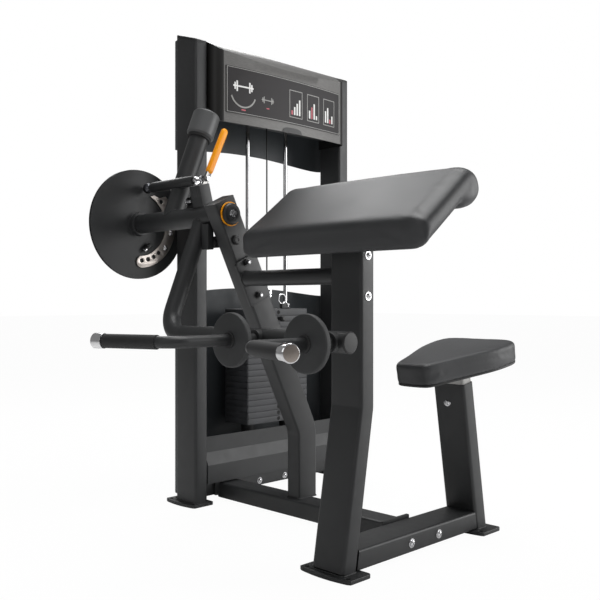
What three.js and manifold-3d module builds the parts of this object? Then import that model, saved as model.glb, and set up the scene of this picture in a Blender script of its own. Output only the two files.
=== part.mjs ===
// Biceps curl machine, in millimetres, +Z up. The user sits on the +Y side and faces -Y.
// The weight stack tower stands on the -X side. While it is built, X is 0 on the middle plane
// of the pad's post and Y is 0 on the arm's pivot axis, which runs along X. The finished
// machine is then moved so that its origin is at the middle of its footprint, on the floor.

import * as THREE from 'three';
import { mergeVertices } from 'three/addons/utils/BufferGeometryUtils.js';
import Module from 'manifold-3d';

// Clearances, cutters and facets
const SEAT_GAP = 0.3;
const RUNNING_GAP = 0.3;
const OVERRUN = 6;
const WELD_SINK = 2;
const CORNER_FACETS = 2;
const TUBE_FACETS = 16;
const ROUND_FACETS = 24;
const SMALL_FACETS = 12;
const BEND_STEPS = 5;

// Pivot and tower places
const PIVOT_HEIGHT = 879;
const TOWER_SETBACK = 722;
const FRONT_UPRIGHT_Y = 159;
const UPRIGHT_SPACING = 663;
const TOWER_HEIGHT = 1493;
const TOWER_SLOPE_DROP = 33;

// Uprights
const UPRIGHT_WIDTH = 100;
const UPRIGHT_DEPTH = 50;
const UPRIGHT_WALL = 3;
const UPRIGHT_CORNER = 9;
const UPRIGHT_FOOT_LENGTH = 147;
const UPRIGHT_FOOT_WIDTH = 88;
const UPRIGHT_FOOT_SHIFT = 15.5;
const FOOT_THICKNESS = 10;
const FOOT_CORNER = 14;
const FOOT_HOLE_RADIUS = 6;
const FOOT_HOLE_INSET = 16;
const CAP_THICKNESS = 9;
const CAP_PLUG_LENGTH = 22;
const CAP_BEVEL = 3;

// Tower floor tube and lower cover
const TOWER_RAIL_WIDTH = 50;
const TOWER_RAIL_BOTTOM = 20;
const TOWER_RAIL_TOP = 65;
const RAIL_WALL = 3;
const RAIL_CORNER = 7;
const COVER_THICKNESS = 3;
const COVER_TOP = 212;
const COVER_BEND_HEIGHT = 124;
const COVER_BAND_HEIGHT = 38;
const COVER_BAND_SETBACK = 16;

// Header: beam, hood, placard
const HEADER_BEAM_WIDTH = 60;
const HEADER_BEAM_HEIGHT = 40;
const HEADER_BEAM_DROP = 253;
const HOOD_DROP = 284;
const HOOD_FRONT_DROP = 78;
const HOOD_WALL = 3;
const HOOD_END_RADIUS = 37;
const HOOD_BOW = 16;
const HOOD_BOW_STEPS = 10;
const HOOD_ROOF_STEPS = 8;
const HOOD_ROOF_PULL = 31;
const PLACARD_LOW_MARGIN = 31;
const PLACARD_HIGH_MARGIN = 27;
const PLACARD_THICKNESS = 2;
const PLACARD_END_INSET = 5;

// Rear shields
const SHIELD_DEPTH = 66;
const SHIELD_THICKNESS = 2;
const SHIELD_END_INSET = 16;
const SHIELD_STEPS = 20;
const SHIELD_ROUNDNESS_SHARE = 4;
const SHIELD_ARCH = 26;
const UPPER_SHIELD_CLEARANCE = 85;
const UPPER_SHIELD_DROP = 11;
const LOWER_SHIELD_CLEARANCE = 49;
const LOWER_SHIELD_BOTTOM = 24;

// Weight stack
const PLATE_LENGTH = 280;
const PLATE_DEPTH = 118;
const PLATE_PITCH = 20;
const PLATE_COUNT = 18;
const SINGLE_PLATES = 5;
const PLATE_CORNER = 5;
const PLATE_GROOVE_DEPTH = 1.5;
const PLATE_GROOVE_HEIGHT = 1.2;
const HEAD_PLATE_THICKNESS = 23;
const STACK_BOTTOM = 233;
const GUIDE_SPACING = 177;
const GUIDE_RADIUS = 7;
const GUIDE_HOLE_CLEARANCE = 2;
const CUSHION_RADIUS = 22;
const CUSHION_HEIGHT = 30;
const SPACER_RADIUS = 13;
const SELECTOR_ROD_RADIUS = 11;
const SELECTOR_ROD_FOOT = 8;
const SELECTOR_FLANGE_RADIUS = 17;
const SELECTOR_FLANGE_HEIGHT = 6;
const STUD_RADIUS = 7;
const STUD_LENGTH = 26;
const CLEVIS_RADIUS = 10;
const CLEVIS_LENGTH = 40;
const PIN_RADIUS = 4.5;
const PIN_DEPTH = 8;
const KNOB_RADIUS = 13;
const KNOB_LENGTH = 30;

// Cable and pulleys
const CABLE_RADIUS = 2.5;
const CABLE_FACETS = 8;
const CABLE_ARC_STEPS = 8;
const PULLEY_RADIUS = 45;
const PULLEY_RIM = 6;
const PULLEY_WIDTH = 16;
const PULLEY_HUB_RADIUS = 14;
const PULLEY_WEB = 8;
const PULLEY_RISE = 65;
const PULLEY_PIN_RADIUS = 6;
const CHEEK_THICKNESS = 4;
const CHEEK_SIDE_GAP = 2.5;
const CHEEK_END = 12;
const CHEEK_BOTTOM_LIFT = 3;
const CHEEK_RISE = 27;
const CARRIER_WEB_HEIGHT = 10;
const CARRIER_WEB_INSET = 62;

// Cam on the pivot
const CAM_RADIUS = 168;
const CAM_THICKNESS = 10;
const CAM_CABLE_RADIUS = 160;
const CAM_CLEARANCE = 9;
const CAM_COLLAR_RADIUS = 36;
const CAM_COLLAR_LENGTH = 21;
const INDEX_THICKNESS = 5;
const INDEX_INNER = 97;
const INDEX_OUTER = 134;
const INDEX_START_ANGLE = -86;
const INDEX_END_ANGLE = 30;
const INDEX_STEPS = 18;
const INDEX_HOLE_RADIUS = 7;
const INDEX_LOW_HOLES = 4;
const INDEX_HOLE_STEP_ANGLE = 12;
const INDEX_FAN_HOLE_ANGLE = 43;
const INDEX_FAN_STEPS = 4;
const INDEX_TIP_ANGLE = 66;
// The fan's corners as (angle, reach), reach as a share of the plate's outer radius
const INDEX_FAN_SHARES = [[36, 1.035], [44, 1.01], [50, 0.84], [59, 0.82]];

// Axle, arm hub and stop
const AXLE_RADIUS = 15;
const AXLE_FLANGE_RADIUS = 24;
const AXLE_FLANGE = 4;
const PIVOT_CAP_RADIUS = 33;
const PIVOT_CAP_THICKNESS = 15;
const PIVOT_CAP_EDGE = 3;
const PIVOT_RING_THICKNESS = 4;
const HUB_RADIUS = 29;
const HUB_BORE = 23;
const HUB_BUSH_LENGTH = 28;
const STOP_WIDTH = 50;
const STOP_HEIGHT = 32;
const STOP_DROP = 56;
const STOP_PLATE = 10;
const STOP_PAD_RADIUS = 13;
const STOP_PAD_LENGTH = 14;
const LUG_WIDTH = 29;
const LUG_THICKNESS = 20;
const LUG_REACH = 94;

// Lever arm and counterweight
const LEVER_ANGLE = 21.8;
const LEVER_PLACE_SHARE = 0.70776;
const LEVER_RADIUS = 24;
const LEVER_WALL = 3;
const LEVER_REACH = 349;
const LEVER_BEND = 72;
const LEVER_ROOT = 12;
const CROSSBAR_OVERHANG = 30;
const COUNTERWEIGHT_PLACE_SHARE = 0.9169;
const COUNTERWEIGHT_TUBE_RADIUS = 29.5;
const COUNTERWEIGHT_TUBE_WALL = 4;
const COUNTERWEIGHT_RADIUS = 41.5;
const COUNTERWEIGHT_LENGTH = 78;
const COUNTERWEIGHT_REACH = 358;
const COUNTERWEIGHT_SOCKET = 24;
const COUNTERWEIGHT_EDGE = 5;

// Index pin, its barrel and the release lever
const INDEX_PIN_RISE = 110;
const INDEX_PIN_OFFSET = 16;
const BARREL_RADIUS = 15.5;
const BARREL_ROOT = 52;
const BARREL_STANDOFF = 52;
const COLLAR_RADIUS = 16;
const COLLAR_LENGTH = 43;
const COLLAR_NECK = 9;
const COLLAR_WALL = 2;
const PIN_ROD_RADIUS = 4;
const PLUNGER_EDGE = 1;
const PLUNGER_RADIUS = 5;
const PIN_STANDOFF = 1;
const PIN_HEAD_RADIUS = 7;
const PIN_HEAD_LENGTH = 6;
const RELEASE_PLACE_SHARE = 0.71953;
const RELEASE_BLOCK_WIDTH = 45;
const RELEASE_BLOCK_DEPTH = 38;
const RELEASE_BLOCK_TOP = 84;
const RELEASE_BLOCK_HEAD = 93;
const RELEASE_BLOCK_ROOT = 6;
const RELEASE_BLOCK_LEAN = 15;
const RELEASE_BLOCK_SHIFT = 14.6;
const RELEASE_HINGE_LENGTH = 32;
const RELEASE_PIVOT_DROP = 10;
const RELEASE_POCKET_WIDTH = 19;
const RELEASE_POCKET_DEPTH = 28;
const RELEASE_POCKET_DROP = 22;
const RELEASE_LEAN = 24.9;
const RELEASE_PLATE = 8;
const RELEASE_SHANK_WIDTH = 16;
const RELEASE_LENGTH = 190;
const RELEASE_HOLE_RADIUS = 6.4;
const RELEASE_PIN_RADIUS = 3;
const RELEASE_GRIP_START = 57;
const RELEASE_GRIP_LENGTH = 148;
const RELEASE_GRIP_WIDTH = 22;
const RELEASE_GRIP_THICKNESS = 14;

// Handles
const HANDLE_SPREAD = 120;
const HANDLE_RADIUS = 13.5;
const HANDLE_WALL = 3;
const HANDLE_BACK = 92;
const HANDLE_BEND_Y = 393;
const HANDLE_BEND = 55;
const HANDLE_ANGLE = 70;
const HANDLE_LENGTH = 204;
const HANDLE_NUT_RADIUS = 20;
const HANDLE_NUT_LENGTH = 8;
const NUT_FACETS = 6;
const BOSS_RADIUS = 22;
const BOSS_LENGTH = 64;
const GUARD_RADIUS = 63;
const GUARD_THICKNESS = 15;
const GUARD_FACE = 236;
const GUARD_EDGE = 4;
const GRIP_RADIUS = 16;
const GRIP_END_CAP = 24;
const GRIP_CAP_RADIUS = 17.5;
const GRIP_CAP_EDGE = 2;

// Floor tubes
const BASE_RAIL_Y = 284;
const BASE_RAIL_WIDTH = 78;
const RAIL_TOP = 60;
const BASE_END_PLATE = 8;
const BASE_END_PLATE_WIDTH = 112;
const BASE_END_PLATE_TOP = 68;
const SEAT_RAIL_WIDTH = 100;

// Diagonal post and cross tube
const DIAGONAL_PLACE_SHARE = 0.58449;
const DIAGONAL_WIDTH = 50;
const DIAGONAL_DEPTH = 75;
const DIAGONAL_WALL = 3;
const DIAGONAL_CORNER = 6;
const DIAGONAL_FOOT_Y = 302;
const DIAGONAL_KNEE = 262;
const DIAGONAL_BEND = 100;
const DIAGONAL_OVERHANG = 42;
const DIAGONAL_LID = 4;
const CROSS_TUBE_RADIUS = 21;
const CROSS_TUBE_WALL = 3;
const CROSS_TUBE_Y = 53;
const CROSS_TUBE_HEIGHT = 705;
const CROSS_PLATE_LENGTH = 150;
const CROSS_PLATE_WIDTH = 84;
const CROSS_PLATE_THICKNESS = 10;
const CROSS_PLATE_SHIFT = 8;
const CROSS_PLATE_CORNER = 12;

// Main post
const POST_WIDTH = 100;
const POST_DEPTH = 50;
const POST_WALL = 3;
const POST_CORNER = 9;
const MAIN_POST_Y = 50;
const MAIN_POST_FOOT_Y = -15;
const MAIN_POST_KNEE = 390;
const MAIN_FOOT_LENGTH = 162;
const MAIN_FOOT_WIDTH = 86;

// Arm pad
const PAD_WIDTH = 596;
const PAD_SIDE_SHIFT = -10;
const PAD_SLOPE = 37.4;
const PAD_FRONT_Y = -58;
const PAD_FRONT_TOP = 818;
const PAD_THICKNESS = 70;
const PAD_FLAT_RUN = 162;
const PAD_ROLL_RADIUS = 50;
const PAD_EDGE = 26;
const PAD_END_ROUND = 44;
const PAD_FRONT_EDGE = 16;
const PAD_FACE_LEAN = 13;
const PAD_CROWN = 4;
const PAD_SIDE_PULL = 3;
const PAD_LOW_EDGE = 10;
const PAD_ROLL_STEPS = 10;
const PAD_EDGE_STEPS = 5;
const PAD_LENGTH_STEPS = 8;
const PAD_PLATE = 5;
const PAD_PLATE_LENGTH = 130;
const PAD_PLATE_WIDTH = 180;
const PAD_STEM_LENGTH = 190;
const STEM_SINK = 1;

// Seat
const SEAT_POST_LEAN = 9.63;
const SEAT_POST_FOOT_Y = 541.4;
const SEAT_POST_TOP = 418;
const SEAT_FOOT_SHIFT = 2;
const SEAT_FOOT_LENGTH = 162;
const SEAT_FOOT_WIDTH = 98;
const SEAT_TUBE_CLEARANCE = 0.4;
const SEAT_TUBE_LENGTH = 230;
const SEAT_PAD_LIFT = 31;
const SEAT_PAD_THICKNESS = 66;
const SEAT_PLATE = 5;
const SEAT_PLATE_LENGTH = 190;
const SEAT_PLATE_WIDTH = 120;
const SEAT_PAD_LENGTH = 350;
const SEAT_PAD_WIDTH = 258;
const SEAT_PAD_EDGE = 13;
const SEAT_CENTRE_SHARE = 1 / 8;
const SEAT_PAD_CROWN = 4;
const SEAT_OUTLINE_STEPS = 44;
const SEAT_EDGE_STEPS = 6;

// Places worked out from the sizes above
const FULL_TURN = 2 * Math.PI;
const QUARTER_TURN = Math.PI / 2;
const radians = THREE.MathUtils.degToRad;
const DIAGONAL_X = DIAGONAL_PLACE_SHARE * TOWER_SETBACK;
const LEVER_X = LEVER_PLACE_SHARE * TOWER_SETBACK;
const RELEASE_X = RELEASE_PLACE_SHARE * TOWER_SETBACK;
const COUNTERWEIGHT_X = COUNTERWEIGHT_PLACE_SHARE * TOWER_SETBACK;
const HEADER_BEAM_BOTTOM = TOWER_HEIGHT - HEADER_BEAM_DROP;
const HOOD_BOTTOM = TOWER_HEIGHT - HOOD_DROP;
const HOOD_FRONT_TOP = TOWER_HEIGHT - HOOD_FRONT_DROP;
const PLACARD_BOTTOM = HOOD_BOTTOM + PLACARD_LOW_MARGIN;
const PLACARD_TOP = HOOD_FRONT_TOP - PLACARD_HIGH_MARGIN;
const PULLEY_HEIGHT = HEADER_BEAM_BOTTOM + HEADER_BEAM_HEIGHT + PULLEY_RISE;
const UPPER_SHIELD_BOTTOM = PIVOT_HEIGHT + CAM_RADIUS + UPPER_SHIELD_CLEARANCE;
const UPPER_SHIELD_TOP = TOWER_HEIGHT - UPPER_SHIELD_DROP;
const LOWER_SHIELD_TOP = PIVOT_HEIGHT - CAM_RADIUS - LOWER_SHIELD_CLEARANCE;
const TOWER_X = -TOWER_SETBACK - UPRIGHT_WIDTH / 2;
const TOWER_BACK_X = -TOWER_SETBACK - UPRIGHT_WIDTH;
const TOWER_MIDDLE_Y = FRONT_UPRIGHT_Y + UPRIGHT_SPACING / 2;
const REAR_UPRIGHT_Y = FRONT_UPRIGHT_Y + UPRIGHT_SPACING;
const INNER_HALF_SPAN = UPRIGHT_SPACING / 2 - UPRIGHT_DEPTH / 2 - SEAT_GAP;
const INNER_START_Y = TOWER_MIDDLE_Y - INNER_HALF_SPAN;
const INNER_END_Y = TOWER_MIDDLE_Y + INNER_HALF_SPAN;
const ROOF_SLOPE = -TOWER_SLOPE_DROP / UPRIGHT_WIDTH;
const ROOF_MIDDLE = TOWER_HEIGHT - TOWER_SLOPE_DROP / 2;
const STACK_X = -TOWER_SETBACK - PLATE_DEPTH / 2;
const STACK_TOP = STACK_BOTTOM + PLATE_COUNT * PLATE_PITCH;
const HEAD_TOP = STACK_TOP + HEAD_PLATE_THICKNESS;
const CAM_FACE_X = TOWER_BACK_X - CAM_CLEARANCE;
const CAM_BACK_X = CAM_FACE_X - CAM_THICKNESS;
const CAM_X = CAM_FACE_X - CAM_THICKNESS / 2;
const BARREL_START = RELEASE_X + BARREL_ROOT;
const BARREL_END = -CAM_FACE_X - BARREL_STANDOFF;
const HUB_END_X = CAM_FACE_X + CAM_COLLAR_LENGTH + RUNNING_GAP;
const DIAGONAL_FACE_X = -DIAGONAL_X + DIAGONAL_WIDTH / 2;
const DIAGONAL_BACK_X = -DIAGONAL_X - DIAGONAL_WIDTH / 2;
const HUB_START_X = DIAGONAL_BACK_X - 2 * RUNNING_GAP;
const AXLE_BORE = AXLE_RADIUS + RUNNING_GAP;
const BASE_RAIL_BOTTOM = FOOT_THICKNESS + SEAT_GAP;
const leverDirection = new THREE.Vector3(0, -Math.sin(radians(LEVER_ANGLE)),
    -Math.cos(radians(LEVER_ANGLE)));
const pivot = new THREE.Vector3(0, 0, PIVOT_HEIGHT);
const axisX = new THREE.Vector3(1, 0, 0);
const axisY = new THREE.Vector3(0, 1, 0);
const axisZ = new THREE.Vector3(0, 0, 1);

// Finishes
const finish = (color, roughness, metalness) => (
  new THREE.MeshStandardMaterial({ color, roughness, metalness }));
const finishes = {
  frame: finish('#2f3031', 0.5, 0.3),
  hood: finish('#6b6a68', 0.5, 0.1),
  plastic: finish('#1c1c1d', 0.55, 0),
  placard: finish('#3d3a3b', 0.45, 0),
  shield: finish('#33373a', 0.55, 0.1),
  plates: finish('#333436', 0.6, 0.4),
  chrome: finish('#c9c9cb', 0.15, 1),
  steel: finish('#8d8c8a', 0.35, 1),
  indexPlate: finish('#c9c1bb', 0.4, 0.8),
  counterweight: finish('#68696a', 0.5, 0.2),
  amber: finish('#f5a21b', 0.45, 0),
  rubber: finish('#232324', 0.85, 0),
  cable: finish('#161616', 0.5, 0),
  leatherette: finish('#4a4b4d', 0.6, 0),
  endCap: finish('#9a908a', 0.35, 1),
};

// Solids as manifolds: joining and cutting
const manifold = await Module();
manifold.setup();

function toManifold(geometry) {
  const bare = geometry.clone();
  bare.deleteAttribute('normal');
  bare.deleteAttribute('uv');
  const merged = mergeVertices(bare);
  return new manifold.Manifold(new manifold.Mesh({
    numProp: 3,
    vertProperties: new Float32Array(merged.attributes.position.array),
    triVerts: new Uint32Array(merged.index.array),
  }));
}

function toGeometry(body) {
  const mesh = body.getMesh();
  const geometry = new THREE.BufferGeometry();
  geometry.setAttribute('position',
      new THREE.BufferAttribute(new Float32Array(mesh.vertProperties), mesh.numProp));
  geometry.setIndex(new THREE.BufferAttribute(new Uint32Array(mesh.triVerts), 1));
  geometry.computeVertexNormals();
  return geometry;
}

const join = (...geometries) => toGeometry(geometries.map(toManifold).reduce((a, b) => a.add(b)));
const cut = (base, ...tools) => toGeometry(tools
    .map(toManifold).reduce((a, b) => a.subtract(b), toManifold(base)));
const common = (a, b) => toGeometry(toManifold(a).intersect(toManifold(b)));

// Outlines as lists of points
function circle(radius, facets, x = 0, y = 0) {
  return Array.from({ length: facets }, (_, i) => {
    const angle = FULL_TURN * i / facets;
    return new THREE.Vector2(x + radius * Math.cos(angle), y + radius * Math.sin(angle));
  });
}

function arc(x, y, radius, from, to, steps) {
  return Array.from({ length: steps + 1 }, (_, i) => {
    const angle = from + (to - from) * i / steps;
    return new THREE.Vector2(x + radius * Math.cos(angle), y + radius * Math.sin(angle));
  });
}

function roundedRectangle(width, height, radius, x = 0, y = 0, facets = CORNER_FACETS) {
  const right = x + width / 2 - radius;
  const left = x - width / 2 + radius;
  const top = y + height / 2 - radius;
  const bottom = y - height / 2 + radius;
  return [
    ...arc(right, top, radius, 0, QUARTER_TURN, facets),
    ...arc(left, top, radius, QUARTER_TURN, 2 * QUARTER_TURN, facets),
    ...arc(left, bottom, radius, 2 * QUARTER_TURN, 3 * QUARTER_TURN, facets),
    ...arc(right, bottom, radius, 3 * QUARTER_TURN, FULL_TURN, facets),
  ];
}

const rectangle = (x0, y0, x1, y1) => [
  new THREE.Vector2(x0, y0), new THREE.Vector2(x1, y0), new THREE.Vector2(x1, y1),
      new THREE.Vector2(x0, y1),
];

// Prisms: an outline pushed along one axis. The outline's plane is (Y, Z) for x, (Z, X) for y, (X, Y)
// for z
const prismBases = {
  x: new THREE.Matrix4().makeBasis(axisY, axisZ, axisX),
  y: new THREE.Matrix4().makeBasis(axisZ, axisX, axisY),
  z: new THREE.Matrix4(),
};

function prism(axis, outline, from, to, holes = []) {
  const shape = new THREE.Shape(outline);
  shape.holes = holes.map((hole) => new THREE.Path(hole));
  const geometry = new THREE.ExtrudeGeometry(shape, { depth: to - from, bevelEnabled: false, steps: 1 });
  geometry.translate(0, 0, from);
  return geometry.applyMatrix4(prismBases[axis]);
}

// Turned pieces: a profile of (radius, place along the axis), closed on itself or on the axis
function turned(axis, profile, facets = ROUND_FACETS) {
  const geometry = new THREE.LatheGeometry(profile.map(([r, along]) => new THREE.Vector2(r, along)),
      facets);
  const basis = { x: [axisY, axisX, axisZ.clone().negate()], y: [axisX, axisY, axisZ],
      z: [axisX, axisZ, axisY.clone().negate()] };
  geometry.applyMatrix4(new THREE.Matrix4().makeBasis(...basis[axis]));
  return geometry;
}

const at = (geometry, x, y, z) => geometry.translate(x, y, z);

function rod(axis, radius, from, to, facets = ROUND_FACETS) {
  return prism(axis, circle(radius, facets), from, to);
}

// Lofts: rings of points joined by quads
function facesBetween(rings, offset, faces, reversed) {
  const count = rings[0].length;
  for (let r = 0; r + 1 < rings.length; r += 1) {
    for (let i = 0; i < count; i += 1) {
      const a = offset + r * count + i;
      const b = offset + r * count + (i + 1) % count;
      const c = a + count;
      const d = b + count;
      if (reversed) faces.push(a, d, b, a, c, d);
      else faces.push(a, b, d, a, d, c);
    }
  }
}

function closedGeometry(points, faces) {
  let volume = 0;
  for (let i = 0; i < faces.length; i += 3) {
    const [a, b, c] = [points[faces[i]], points[faces[i + 1]], points[faces[i + 2]]];
    volume += a.dot(b.clone().cross(c));
  }
  if (volume < 0) faces.reverse();
  const geometry = new THREE.BufferGeometry().setFromPoints(points);
  geometry.setIndex(faces);
  geometry.computeVertexNormals();
  return geometry.toNonIndexed();
}

function loft(rings) {
  const points = rings.flat();
  const faces = [];
  const count = rings[0].length;
  facesBetween(rings, 0, faces, false);
  for (const [start, flipped] of [[0, true], [points.length - count, false]]) {
    const centre = new THREE.Vector3();
    for (let i = 0; i < count; i += 1) centre.addScaledVector(points[start + i], 1 / count);
    const middle = points.push(centre) - 1;
    for (let i = 0; i < count; i += 1) {
      const a = start + i;
      const b = start + (i + 1) % count;
      if (flipped) faces.push(b, a, middle);
      else faces.push(a, b, middle);
    }
  }
  return closedGeometry(points, faces);
}

function hollowLoft(outer, inner) {
  const points = [...outer.flat(), ...inner.flat()];
  const faces = [];
  const count = outer[0].length;
  const innerStart = outer.length * count;
  facesBetween(outer, 0, faces, false);
  facesBetween(inner, innerStart, faces, true);
  const last = (outer.length - 1) * count;
  for (let i = 0; i < count; i += 1) {
    const j = (i + 1) % count;
    faces.push(i, innerStart + j, j, i, innerStart + i, innerStart + j);
    faces.push(last + i, last + j, innerStart + last + j, last + i, innerStart + last + j,
        innerStart + last + i);
  }
  return closedGeometry(points, faces);
}

// Bent tubes: a path in one plane, cut square to each bend, and a section placed along it
function roundedPath(corners, radius, steps = BEND_STEPS) {
  const path = [corners[0]];
  for (let i = 1; i + 1 < corners.length; i += 1) {
    const into = corners[i].clone().sub(corners[i - 1]).normalize();
    const out = corners[i + 1].clone().sub(corners[i]).normalize();
    const turn = into.angleTo(out);
    const start = corners[i].clone().addScaledVector(into, -radius * Math.tan(turn / 2));
    const inward = out.clone().addScaledVector(into, -out.dot(into)).normalize();
    for (let step = 0; step <= steps; step += 1) {
      const angle = turn * step / steps;
      path.push(start.clone().addScaledVector(into, radius * Math.sin(angle))
        .addScaledVector(inward, radius * (1 - Math.cos(angle))));
    }
  }
  path.push(corners[corners.length - 1]);
  return path;
}

function stations(path, planeNormal, startCut, endCut) {
  return path.map((point, i) => {
    const before = i > 0 ? point.clone().sub(path[i - 1]).normalize() : null;
    const after = i + 1 < path.length ? path[i + 1].clone().sub(point).normalize() : null;
    const along = before ?? after;
    let face = before && after ? before.clone().add(after) : along;
    if (!before && startCut) face = startCut;
    if (!after && endCut) face = endCut;
    const inFace = (direction) => direction.clone()
        .addScaledVector(along, -direction.dot(face) / along.dot(face));
    return { point, side: inFace(planeNormal), across: inFace(planeNormal.clone().cross(along)) };
  });
}

const ringAt = (section, { point, side, across }) => section.map(({ x, y }) => (
  point.clone().addScaledVector(side, x).addScaledVector(across, y)));

function tube(outerSection, innerSection, places) {
  const outer = places.map((place) => ringAt(outerSection, place));
  if (!innerSection) return loft(outer);
  return hollowLoft(outer, places.map((place) => ringAt(innerSection, place)));
}

const roundTube = (radius, wall, places, facets = TUBE_FACETS) => (
  tube(circle(radius, facets), circle(radius - wall, facets), places));

function boxTube(width, depth, wall, corner, places) {
  return tube(
    roundedRectangle(width, depth, corner),
    roundedRectangle(width - 2 * wall, depth - 2 * wall, corner - wall),
    places,
  );
}

const yz = (y, z, x = 0) => new THREE.Vector3(x, y, z);

// Tower uprights, their feet and caps
function footPlate(length, width, x, y) {
  const holeX = length / 2 - FOOT_HOLE_INSET;
  const outline = roundedRectangle(length, width, FOOT_CORNER, x, y);
  const holes = [-holeX, holeX].map((shift) => circle(FOOT_HOLE_RADIUS, SMALL_FACETS, x + shift,
      y - width / 2 + FOOT_HOLE_INSET));
  return prism('z', outline, 0, FOOT_THICKNESS, holes);
}

const roofPlace = (y, drop) => ({
  point: new THREE.Vector3(TOWER_X, y, ROOF_MIDDLE - drop),
  side: new THREE.Vector3(1, 0, ROOF_SLOPE),
  across: axisY,
});

function upright(y) {
  const bottom = { point: new THREE.Vector3(TOWER_X, y, FOOT_THICKNESS - WELD_SINK), side: axisX,
      across: axisY };
  const column = boxTube(UPRIGHT_WIDTH, UPRIGHT_DEPTH, UPRIGHT_WALL, UPRIGHT_CORNER,
      [bottom, roofPlace(y, CAP_THICKNESS + SEAT_GAP)]);
  return join(column, footPlate(UPRIGHT_FOOT_LENGTH, UPRIGHT_FOOT_WIDTH, TOWER_X - UPRIGHT_FOOT_SHIFT,
      y));
}

function uprightCap(y) {
  const section = (inset) => roundedRectangle(
    UPRIGHT_WIDTH - 2 * inset, UPRIGHT_DEPTH - 2 * inset, UPRIGHT_CORNER - Math.min(inset, UPRIGHT_WALL));
  const plug = UPRIGHT_WALL + SEAT_GAP;
  const lid = CAP_THICKNESS;
  return loft([
    ringAt(section(plug), roofPlace(y, lid + CAP_PLUG_LENGTH)),
    ringAt(section(plug), roofPlace(y, lid)),
    ringAt(section(0), roofPlace(y, lid)),
    ringAt(section(0), roofPlace(y, CAP_BEVEL)),
    ringAt(section(CAP_BEVEL), roofPlace(y, 0)),
  ]);
}

// Tower floor tube and the cover in front of it
function towerBaseRail() {
  const middle = (TOWER_RAIL_BOTTOM + TOWER_RAIL_TOP) / 2;
  const height = TOWER_RAIL_TOP - TOWER_RAIL_BOTTOM;
  const section = (inset) => roundedRectangle(
    height - 2 * inset, TOWER_RAIL_WIDTH - 2 * inset, RAIL_CORNER - inset, middle, TOWER_X);
  return prism('y', section(0), INNER_START_Y, INNER_END_Y, [section(RAIL_WALL)]);
}

function lowerFrontCover() {
  const front = -TOWER_SETBACK;
  const back = front - COVER_BAND_SETBACK;
  const bottom = TOWER_RAIL_TOP + SEAT_GAP;
  const bandTop = COVER_BEND_HEIGHT + COVER_BAND_HEIGHT;
  const outline = [
    [bottom, front], [COVER_BEND_HEIGHT, front], [bandTop, back], [COVER_TOP, back],
    [COVER_TOP, back - COVER_THICKNESS], [bandTop, back - COVER_THICKNESS],
    [COVER_BEND_HEIGHT, front - COVER_THICKNESS], [bottom, front - COVER_THICKNESS],
  ].map(([z, x]) => new THREE.Vector2(z, x));
  return prism('y', outline, INNER_START_Y, INNER_END_Y);
}

// Header beam with the hole for the cable
function headerBeam() {
  const middle = HEADER_BEAM_BOTTOM + HEADER_BEAM_HEIGHT / 2;
  const section = (inset) => roundedRectangle(
    HEADER_BEAM_HEIGHT - 2 * inset, HEADER_BEAM_WIDTH - 2 * inset, RAIL_CORNER - inset, middle, STACK_X);
  const beam = prism('y', section(0), INNER_START_Y, INNER_END_Y, [section(RAIL_WALL)]);
  const top = HEADER_BEAM_BOTTOM + HEADER_BEAM_HEIGHT + OVERRUN;
  const cableHole = at(rod('z', CABLE_RADIUS + OVERRUN, HEADER_BEAM_BOTTOM - OVERRUN, top, SMALL_FACETS),
      STACK_X, TOWER_MIDDLE_Y, 0);
  return cut(beam, cableHole);
}

// Hood: a plan outline with a bowed front, cut to a side profile with a curved roof, and hollowed
const HOOD_FRONT_X = -TOWER_SETBACK + HOOD_END_RADIUS;
const HOOD_BOW_HALF = INNER_HALF_SPAN - HOOD_END_RADIUS;

function bowedFront(offset, half, steps) {
  return Array.from({ length: steps + 1 }, (_, i) => {
    const share = -1 + 2 * i / steps;
    const y = share * half;
    const bow = HOOD_BOW * (1 - (y / HOOD_BOW_HALF) ** 2);
    return new THREE.Vector2(HOOD_FRONT_X + bow + offset, TOWER_MIDDLE_Y + y);
  });
}

function hoodPlan(inset, backX) {
  const radius = HOOD_END_RADIUS - inset;
  const low = INNER_START_Y + HOOD_END_RADIUS;
  const high = INNER_END_Y - HOOD_END_RADIUS;
  const centreX = -TOWER_SETBACK;
  return [
    new THREE.Vector2(backX, low - radius),
    ...arc(centreX, low, radius, -QUARTER_TURN, 0, CORNER_FACETS + 1).slice(0, -1),
    ...bowedFront(-inset, HOOD_BOW_HALF, HOOD_BOW_STEPS),
    ...arc(centreX, high, radius, 0, QUARTER_TURN, CORNER_FACETS + 1).slice(1),
    new THREE.Vector2(backX, high + radius),
  ];
}

function hoodProfile(inset, bottom, backX) {
  const crownX = HOOD_FRONT_X + HOOD_BOW;
  const roof = Array.from({ length: HOOD_ROOF_STEPS + 1 }, (_, i) => {
    const t = i / HOOD_ROOF_STEPS;
    const far = TOWER_BACK_X;
    const pullX = crownX - HOOD_ROOF_PULL;
    const x = crownX * (1 - t) ** 2 + 2 * pullX * t * (1 - t) + far * t ** 2;
    const pullZ = TOWER_HEIGHT - HOOD_ROOF_PULL;
    const z = HOOD_FRONT_TOP * (1 - t) ** 2 + 2 * pullZ * t * (1 - t) + TOWER_HEIGHT * t ** 2;
    return new THREE.Vector2(z - inset, x);
  });
  return [
    new THREE.Vector2(bottom, backX),
    new THREE.Vector2(bottom, crownX + OVERRUN),
    new THREE.Vector2(HOOD_FRONT_TOP - inset, crownX + OVERRUN),
    ...roof,
    ...(backX < TOWER_BACK_X ? [new THREE.Vector2(TOWER_HEIGHT - inset, backX)] : []),
  ];
}

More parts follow.
